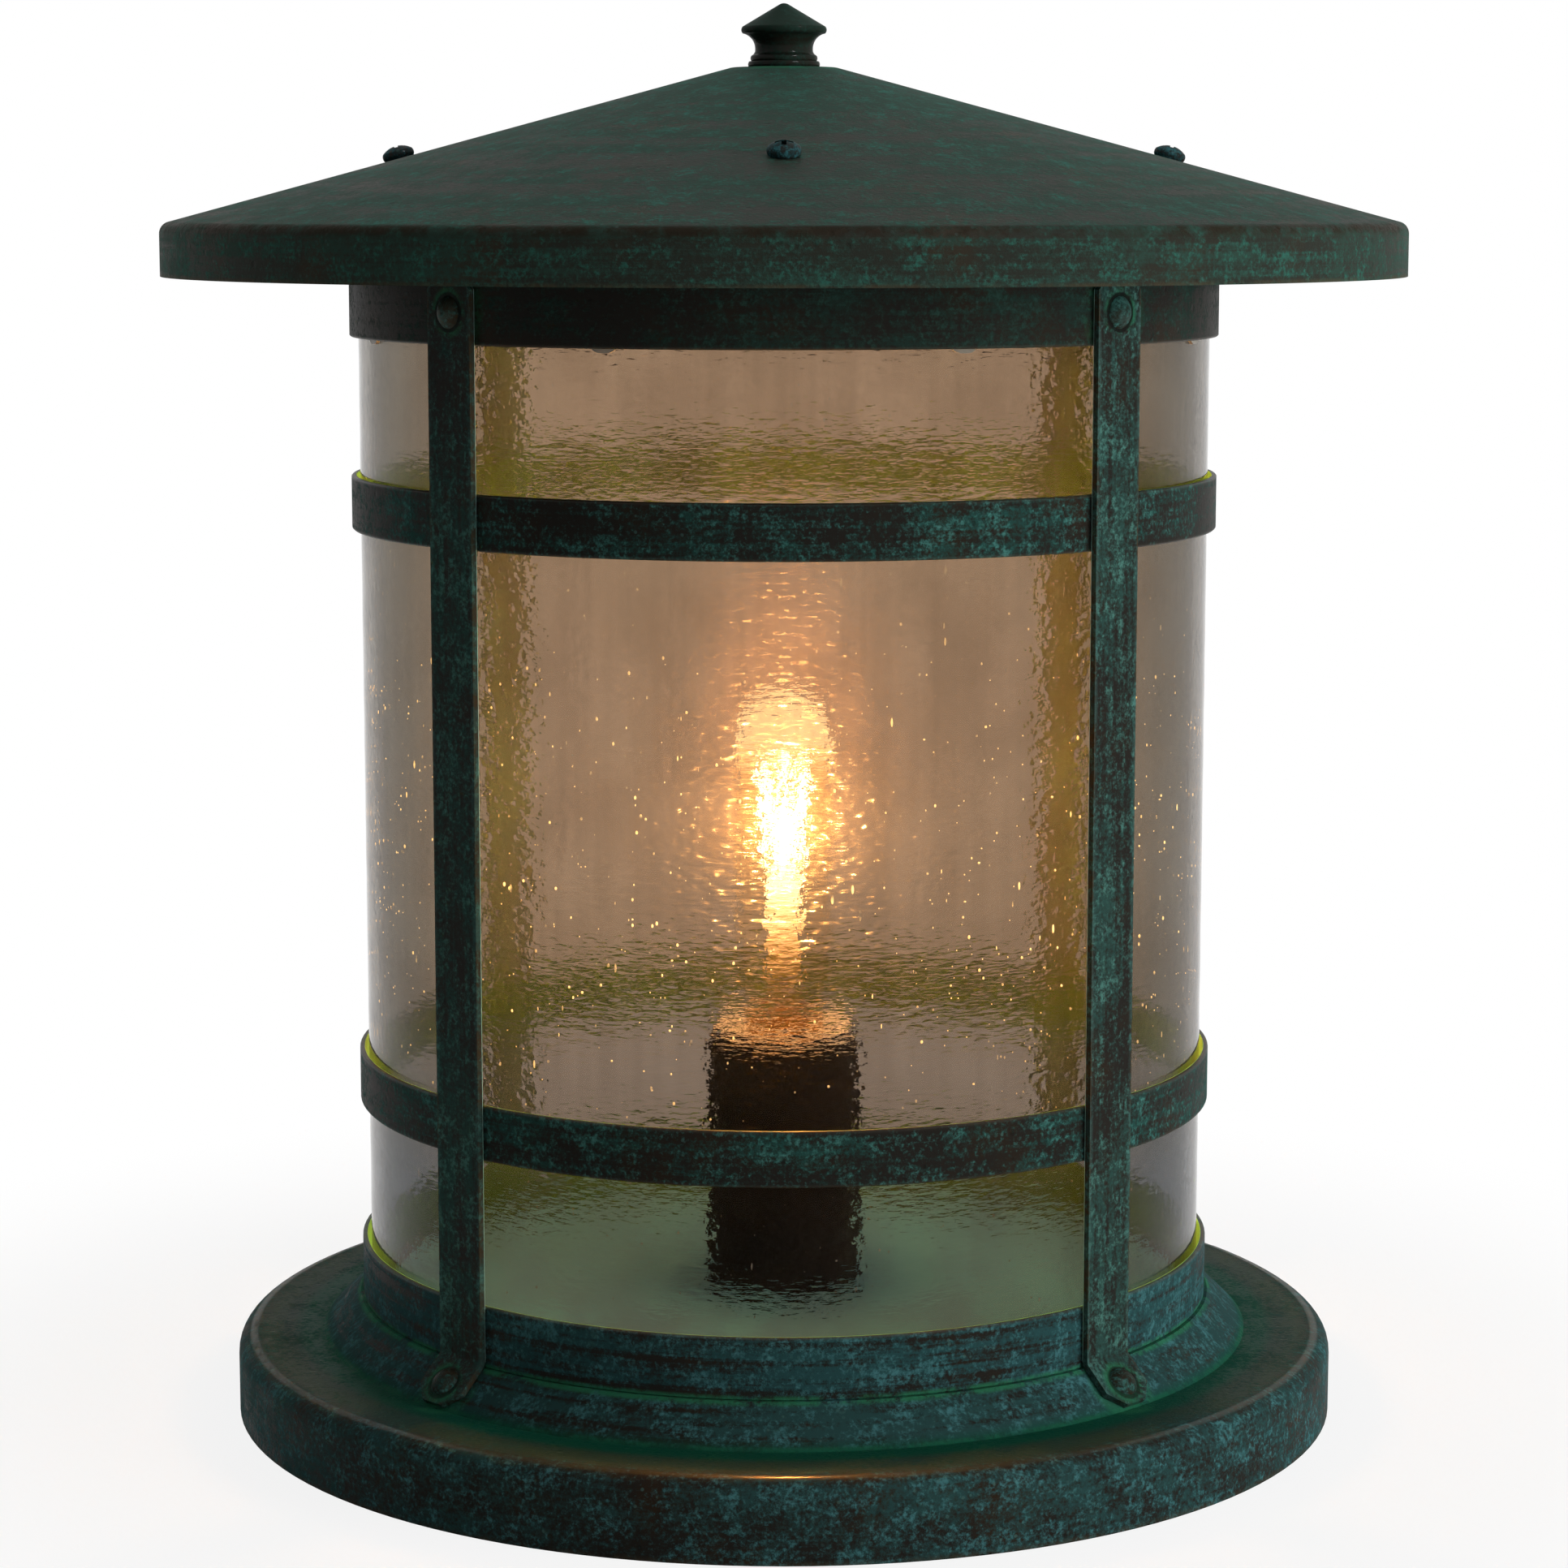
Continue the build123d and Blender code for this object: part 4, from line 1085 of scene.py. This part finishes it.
@dataclass
class Glazing(SubAssembly):
    """Rolled glass cylinder with its seeds, pads and gasket."""

    outer: float = 0.1396
    wall: float = 0.0032
    level: Span = (0.04, 0.3701)
    edge: float = 0.0011
    ripple: float = 0.00012
    columns: int = 256
    rows: int = 148
    wave_count: int = 14
    wave_turns: tuple[int, int] = (2, 26)
    wave_length: Span = (0.01, 0.034)
    wave_fade: float = 0.012
    seeds: int = 4400
    seed_rings: int = 3
    seed_sides: int = 7
    seed_size: Span = (0.00015, 0.00045)
    seed_slender: Span = (0.8, 1.7)
    long_share: float = 0.07
    long_extra: float = 2.6
    crowd_share: float = 0.6
    crowd_level: float = 0.19
    crowd_spread: float = 0.06
    pieces: list[bpy.types.Object] = field(default_factory=list)

    def _ripples(self, turn: np.ndarray, level: np.ndarray, seed: int) -> np.ndarray:
        """Radial waves of the glass.

        A mean of cosines of (k turn + m level + phase), long around the glass and short along it.

        Args:
            turn: Angle about the axis.
            level: Height.
            seed: Seed of the phases.

        Returns:
            The displacement in metres.
        """
        draw = np.random.default_rng(seed)
        around = draw.integers(*self.wave_turns, self.wave_count)
        along = 2 * np.pi / draw.uniform(*self.wave_length, self.wave_count)
        phase = draw.uniform(0, 2 * np.pi, self.wave_count)
        waves = np.cos(turn[..., None] * around + level[..., None] * along + phase)
        return self.ripple * waves.mean(axis=-1)

    def _cylinder(self) -> bpy.types.Object:
        """Rippled wall.

        A closed profile of outer wall, rounded top, inner wall and rounded foot is carried around the axis.
        Each wall's radius is moved by its own waves, which fade out at the two edges.

        Returns:
            The glass cylinder.
        """
        low, high = self.level
        straight = np.linspace(low + self.edge, high - self.edge, self.rows)
        bend = np.linspace(0, np.pi / 2, 5)[1:-1]
        inner = self.outer - self.wall
        over = self.outer - self.edge + self.edge * np.cos(bend)
        under = inner + self.edge - self.edge * np.cos(bend)
        up, down = high - self.edge + self.edge * np.sin(bend), low + self.edge - self.edge * np.sin(bend)
        radii = [
            np.full(self.rows, self.outer), over, [self.outer - self.edge, inner + self.edge], under[::-1],
            np.full(self.rows, inner), under, [inner + self.edge, self.outer - self.edge], over[::-1],
        ]
        levels = [straight, up, [high, high], up[::-1], straight[::-1], down, [low, low], down[::-1]]
        rounding = [0.0] * (2 * len(bend) + 2)
        sides = [1.0] * self.rows + rounding + [-1.0] * self.rows + rounding
        radius, level = np.concatenate(radii)[:, None], np.concatenate(levels)[:, None]
        side = np.array(sides)[:, None]
        turn = np.linspace(0, 2 * np.pi, self.columns, endpoint=False)[None, :]
        fade = np.clip(np.minimum(level - low, high - level) / self.wave_fade, 0, 1)
        height = np.broadcast_to(level, (len(level), self.columns))
        angle = np.broadcast_to(turn, height.shape)
        waves = np.where(side > 0, self._ripples(angle, height, 11), self._ripples(angle, height, 23))
        spread = radius + waves * fade * np.abs(side)
        points = np.stack([spread * np.cos(turn), spread * np.sin(turn), height], axis=-1).reshape(-1, 3)
        return new_piece("glass_rolled", points, [loop_faces(*height.shape)[:, ::-1]])

    def _bubbles(self) -> bpy.types.Object:
        """Seeds in the middle of the wall.

        Each seed is an ellipsoid of a few rings of points and two poles, drawn out along the glass's height.
        The seeds crowd together about the lamp's level.

        Returns:
            All the seeds as one piece.
        """
        draw = np.random.default_rng(7)
        turn = draw.uniform(0, 2 * np.pi, self.seeds)
        low, high = self.level[0] + 0.01, self.level[1] - 0.02
        level = np.where(
            draw.random(self.seeds) < self.crowd_share,
            np.clip(draw.normal(self.crowd_level, self.crowd_spread, self.seeds), low, high),
            draw.uniform(low, high, self.seeds),
        )
        small, large = self.seed_size
        size = small + (large - small) * draw.random(self.seeds) ** 3
        slender = draw.uniform(*self.seed_slender, self.seeds)
        slender = slender + self.long_extra * (draw.random(self.seeds) < self.long_share)
        around = self.seed_sides
        here = np.arange(around)
        beside = (here + 1) % around
        tilt = np.linspace(0, np.pi, self.seed_rings + 2)[1:-1]
        spin = here * 2 * np.pi / around
        ring = np.stack(
            [
                np.outer(np.sin(tilt), np.cos(spin)).ravel(),
                np.outer(np.sin(tilt), np.sin(spin)).ravel(),
                np.repeat(np.cos(tilt), around),
            ],
            axis=1,
        )
        shape = np.concatenate([ring, [[0, 0, 1], [0, 0, -1]]])
        axis_out = np.stack([np.cos(turn), np.sin(turn), np.zeros_like(turn)], axis=1)
        axis_side = np.stack([-np.sin(turn), np.cos(turn), np.zeros_like(turn)], axis=1)
        axis_up = np.array([0.0, 0.0, 1.0])
        centre = axis_out * (self.outer - self.wall / 2) + axis_up * level[:, None]
        reach = size[:, None, None]
        points = (
            centre[:, None, :]
            + reach * shape[None, :, :1] * axis_out[:, None, :]
            + reach * shape[None, :, 1:2] * axis_side[:, None, :]
            + reach * slender[:, None, None] * shape[None, :, 2:] * axis_up
        ).reshape(-1, 3)
        pole = len(ring)
        last = pole - around
        top = np.stack([here, beside, np.full(around, pole)], axis=1)
        foot = np.stack([beside + last, here + last, np.full(around, pole + 1)], axis=1)
        belt = np.stack([here + around, beside + around, beside, here], axis=1)
        sides = np.concatenate([belt + start for start in range(0, last, around)])
        offset = (np.arange(self.seeds) * len(shape))[:, None, None]
        caps = (np.concatenate([top, foot])[None] + offset).reshape(-1, 3)
        walls = (sides[None] + offset).reshape(-1, 4)
        return new_piece("seeds_with_painted_glints", points, [caps, walls])

    def build(self) -> None:
        """Make the rolled glass in place of the plain cylinder, and the seeds in its wall."""
        cylinder, bubbles = self._cylinder(), self._bubbles()
        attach(cylinder, Body.FRAME.value)
        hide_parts("glass_cylinder")
        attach(bubbles, Body.FRAME.value)
        self.pieces = [cylinder, bubbles]

    def dress(self) -> None:
        """Give the glass, seeds, pads and gasket their finishes."""
        for piece, finish in zip(self.pieces, (SeedyGlass(), PaintedGlintSeeds())):
            piece.data.materials.append(finish.make())
            LOG.info("%s wears %s", piece.name, piece.data.materials[0].name)
        put_on(["glass_pads"], ClearPad())
        rubber = Wrought(
            "cushion", (0.05, 0.048, 0.044), (0.018, 0.017, 0.016), rough=(0.6, 0.85), scratch=0.05
        )
        put_on(["glass_gasket"], rubber)


@dataclass
class RoofTop(SubAssembly):
    """Cone roof with its skirt, finial, screws, nuts and brackets."""

    radius: float = 0.203
    corner: float = 0.3942
    skirt: float = 0.3776
    finial_foot: Span = (0.0172, 0.4447)
    crown: tuple[Span, Span] = ((0.0, 0.07), (0.42, 0.46))
    finial_tip: tuple[Span, Span] = ((0.0, 0.02), (0.457, 0.47))

    def dress(self) -> None:
        """Give the cone its smooth grey-green patina and the fittings their own metals."""
        cone = Verdigris(
            "verdigris_roof",
            dark=(0.021, 0.023, 0.018),
            bloom=(0.022, 0.045, 0.034),
            bright=(0.024, 0.098, 0.074),
            brown=(0.031, 0.023, 0.015),
            cover=0.53,
            streak=0.34,
            brownness=0.75,
            rough=(0.5, 0.68),
            gloss=0.022,
            coat=0.0,
            speckle=0.15,
            zones=(Zone(*self.crown, 0.14, 0.03),),
            rings=(
                Ring(self.radius, self.corner, 0.0042, (0.018, 0.012, 0.007), 0.9),
                Ring(self.radius, self.skirt, 0.0016, BRONZE, 0.6),
                Ring(*self.finial_foot, 0.004, GREEN, 0.5),
            ),
        )
        put_on(["roof"], cone)
        turned = Verdigris(
            "bronze_finial",
            dark=(0.011, 0.01, 0.007),
            bloom=(0.01, 0.021, 0.015),
            bright=(0.014, 0.034, 0.026),
            cover=0.4,
            streak=0.2,
            rough=(0.34, 0.5),
            coat=0.12,
            coat_rough=0.1,
            relief=0.12,
            speckle=0.05,
            zones=(Zone(*self.finial_tip, 0.3),),
        )
        put_on(["finial"], turned)
        heads = Verdigris(
            "teal_screws",
            bloom=(0.011, 0.042, 0.046),
            bright=(0.03, 0.12, 0.13),
            cover=0.45,
            streak=0.0,
            grain=Grain.CLOUD,
            coat=0.1,
            coat_rough=0.12,
            relief=0.2,
        )
        put_on(["roof_screws"], heads)
        zinc = Wrought("zinc_steel", (0.5, 0.5, 0.48), (0.3, 0.3, 0.28), metallic=1.0, rough=(0.34, 0.55))
        fittings = [f"roof_bracket_{side}" for side in ("front", "right", "back", "left")]
        put_on(fittings + ["roof_screw_nuts", "finial_stud", "finial_washer", "finial_nut"], zinc)


@dataclass
class SocketStack(SubAssembly):
    """Socket in its cup, and the nipple, nuts and crossbar that hold it down."""

    def dress(self) -> None:
        """Give the socket's pieces their finishes."""
        cup = Wrought(
            "black_cup",
            (0.009, 0.007, 0.006),
            (0.005, 0.004, 0.004),
            rough=(0.5, 0.75),
            scratch=0.1,
            specular=0.1,
        )
        put_on(["socket_cup"], cup)
        glaze = Wrought(
            "porcelain", (0.8, 0.77, 0.7), (0.66, 0.62, 0.54), rough=(0.12, 0.3), relief=0.05, scratch=0.1
        )
        put_on(["socket_body"], glaze)
        brass = Wrought(
            "bright_brass", (0.72, 0.5, 0.2), (0.42, 0.28, 0.1), metallic=1.0, rough=(0.2, 0.42), scratch=0.4
        )
        put_on(["socket_shell", "socket_contact", "lamp_shell", "nipple"], brass)
        zinc = Wrought("zinc_plate", (0.52, 0.52, 0.5), (0.34, 0.34, 0.31), metallic=1.0, rough=(0.3, 0.5))
        put_on(["socket_cap", "socket_screws", "nipple_locknuts", "nipple_washers", "crossbar"], zinc)
        earth = Wrought("green_screw", (0.04, 0.24, 0.08), (0.02, 0.12, 0.045), rough=(0.3, 0.5))
        put_on(["ground_screw"], earth)


@dataclass
class LampBulb(SubAssembly):
    """Tubular lamp: glowing glass, stem and filament, with its leads, hooks and tip."""

    stem_lit: Span = (0.137, 0.188)
    lead_half: float = 0.03

    def dress(self) -> None:
        """Give the lamp's pieces their finishes."""
        put_on(["lamp_envelope"], LampGlass("lamp_glass"))
        stem = LampGlass("lamp_stem", core=(1.0, 0.92, 0.72), lit=self.stem_lit, strength=2.8)
        put_on(["lamp_stem"], stem)
        put_on(["lamp_filament"], HotWire("filament"))
        wire = HotWire("lamp_wire", hot=(1.0, 0.5, 0.15), half=self.lead_half, strength=3.0)
        put_on(["lamp_leads", "lamp_hooks"], wire)
        tip = Wrought("solder", (0.62, 0.62, 0.6), (0.4, 0.4, 0.38), metallic=1.0, rough=(0.35, 0.6))
        put_on(["lamp_contact"], tip)
        bead = Wrought(
            "black_glass", (0.03, 0.028, 0.03), (0.012, 0.012, 0.014), rough=(0.08, 0.2), relief=0.04
        )
        put_on(["lamp_insulator"], bead)


@dataclass
class Studio(SubAssembly):
    """Pale floor, white surroundings, soft lamps and the camera at the photograph's angle."""

    floor_half: float = 4.0
    floor_lines: int = 9
    camera_place: Triple = (0.0, -1.3385, 0.4025)
    camera_pitch: float = 81.743
    camera_lens: float = 92.68
    sky: float = 0.2
    sky_colour: Colour = (0.95, 0.98, 1.0)
    daylight: Colour = (0.96, 0.98, 1.0)
    aim: Triple = (0.0, 0.0, 0.25)
    filament: Triple = (0.0, 0.0, 0.2)

    def clear(self) -> None:
        """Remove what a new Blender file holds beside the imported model."""
        kept = {thing.name for group in ("nodes", "bodies") for thing in frame[group].values()}
        for thing in list(bpy.context.scene.objects):
            if thing.name not in kept:
                bpy.data.objects.remove(thing)

    def _floor(self) -> None:
        """A wide sheet at level 0: a square grid of lines on X and Y, with a quad in each of its meshes."""
        lines = self.floor_lines
        across = np.linspace(-self.floor_half, self.floor_half, lines)
        x, y = np.meshgrid(across, across)
        points = np.stack([x.ravel(), y.ravel(), np.zeros(x.size)], axis=1)
        row, column = np.meshgrid(np.arange(lines - 1), np.arange(lines - 1), indexing="ij")
        start = (row * lines + column).ravel()
        quads = np.stack([start, start + 1, start + lines + 1, start + lines], axis=1)
        floor = new_piece("studio_floor", points, [quads])
        floor.data.materials.append(FloorPaper().make())

    def _world(self) -> None:
        """Even white light, at full white for the rays that see the background."""
        world = bpy.data.worlds.new("studio")
        bpy.context.scene.world = world
        world.use_nodes = True
        bench = Bench(world.node_tree)
        light = bench.node("ShaderNodeBackground", inputs={"Color": self.sky_colour, "Strength": self.sky})
        white = bench.node("ShaderNodeBackground", inputs={"Color": WHITE, "Strength": 1.0})
        bench.surface(bench.mix_shader(bench.background_rays(), light, white), Outlet.WORLD)

    @staticmethod
    def _hang(
        light: bpy.types.Light, place: Triple, power: float, colour: Colour, reach: Reach
    ) -> bpy.types.Object:
        """Put a light into the scene.

        Args:
            light: The light.
            place: Where it stands.
            power: Power in watts.
            colour: Colour of its light.
            reach: What it lights.

        Returns:
            The object that holds the light.
        """
        light.energy = power
        light.color = colour
        holder = bpy.data.objects.new(light.name, light)
        holder.location = place
        holder.visible_diffuse, holder.visible_glossy, holder.visible_transmission = reach.value
        bpy.context.scene.collection.objects.link(holder)
        return holder

    def _lamp(self, name: str, place: Triple, size: float, power: float, reach: Reach) -> None:
        """Set up a square soft light that faces the lantern's middle.

        Args:
            name: Name of the light.
            place: Where it stands.
            size: Length of its side.
            power: Power in watts.
            reach: What it lights.
        """
        light = bpy.data.lights.new(name, "AREA")
        light.size = size
        holder = self._hang(light, place, power, self.daylight, reach)
        holder.rotation_euler = (Vector(self.aim) - Vector(place)).to_track_quat("-Z", "Y").to_euler()

    def _glow(self, name: str, power: float, colour: Colour, radius: float, reach: Reach) -> None:
        """Set up a warm light at the filament, hidden from the camera.

        Args:
            name: Name of the light.
            power: Power in watts.
            colour: Colour of its light.
            radius: Radius of the glowing ball.
            reach: What it lights.
        """
        light = bpy.data.lights.new(name, "POINT")
        light.shadow_soft_size = radius
        self._hang(light, self.filament, power, colour, reach).visible_camera = False

    def _camera(self) -> None:
        """Camera fitted to the rims of the roof, hoops and base in the photograph."""
        view = bpy.data.cameras.new("camera")
        view.sensor_width = 36.0
        view.lens = self.camera_lens
        holder = bpy.data.objects.new("camera", view)
        holder.location = self.camera_place
        holder.rotation_euler = (math.radians(self.camera_pitch), 0.0, 0.0)
        bpy.context.scene.collection.objects.link(holder)
        bpy.context.scene.camera = holder

    def build(self) -> None:
        """Set up the floor, world, lights and camera, dressed as they are built."""
        self._floor()
        self._world()
        self._lamp("key", (1.75, -0.9, 0.4), 1.0, 44.0, Reach.MATT)
        self._lamp("top", (0.0, 0.1, 1.75), 1.3, 10.0, Reach.MATT)
        self._lamp("window", (1.2, -1.2, 2.0), 0.6, 36.0, Reach.GLOSS)
        self._glow("filament_light", 2.0, (1.0, 0.56, 0.22), 0.03, Reach.MATT)
        self._glow("filament_glint", 4.5, (1.0, 0.47, 0.13), 0.0, Reach.GLARE)
        self._camera()
        bpy.context.scene.view_settings.view_transform = "Standard"


def main() -> None:
    """Build and dress the lantern, sub-assembly by sub-assembly, and set up the studio."""
    logging.basicConfig(level=logging.INFO, format="%(name)s: %(message)s")
    studio = Studio()
    studio.clear()
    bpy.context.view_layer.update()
    groups: list[SubAssembly] = [BasePan(), Cage(), Glazing(), RoofTop(), SocketStack(), LampBulb(), studio]
    for group in groups:
        group.build()
        group.dress()
        LOG.info("%s done", type(group).__name__)


if __name__ == "__main__":
    main()
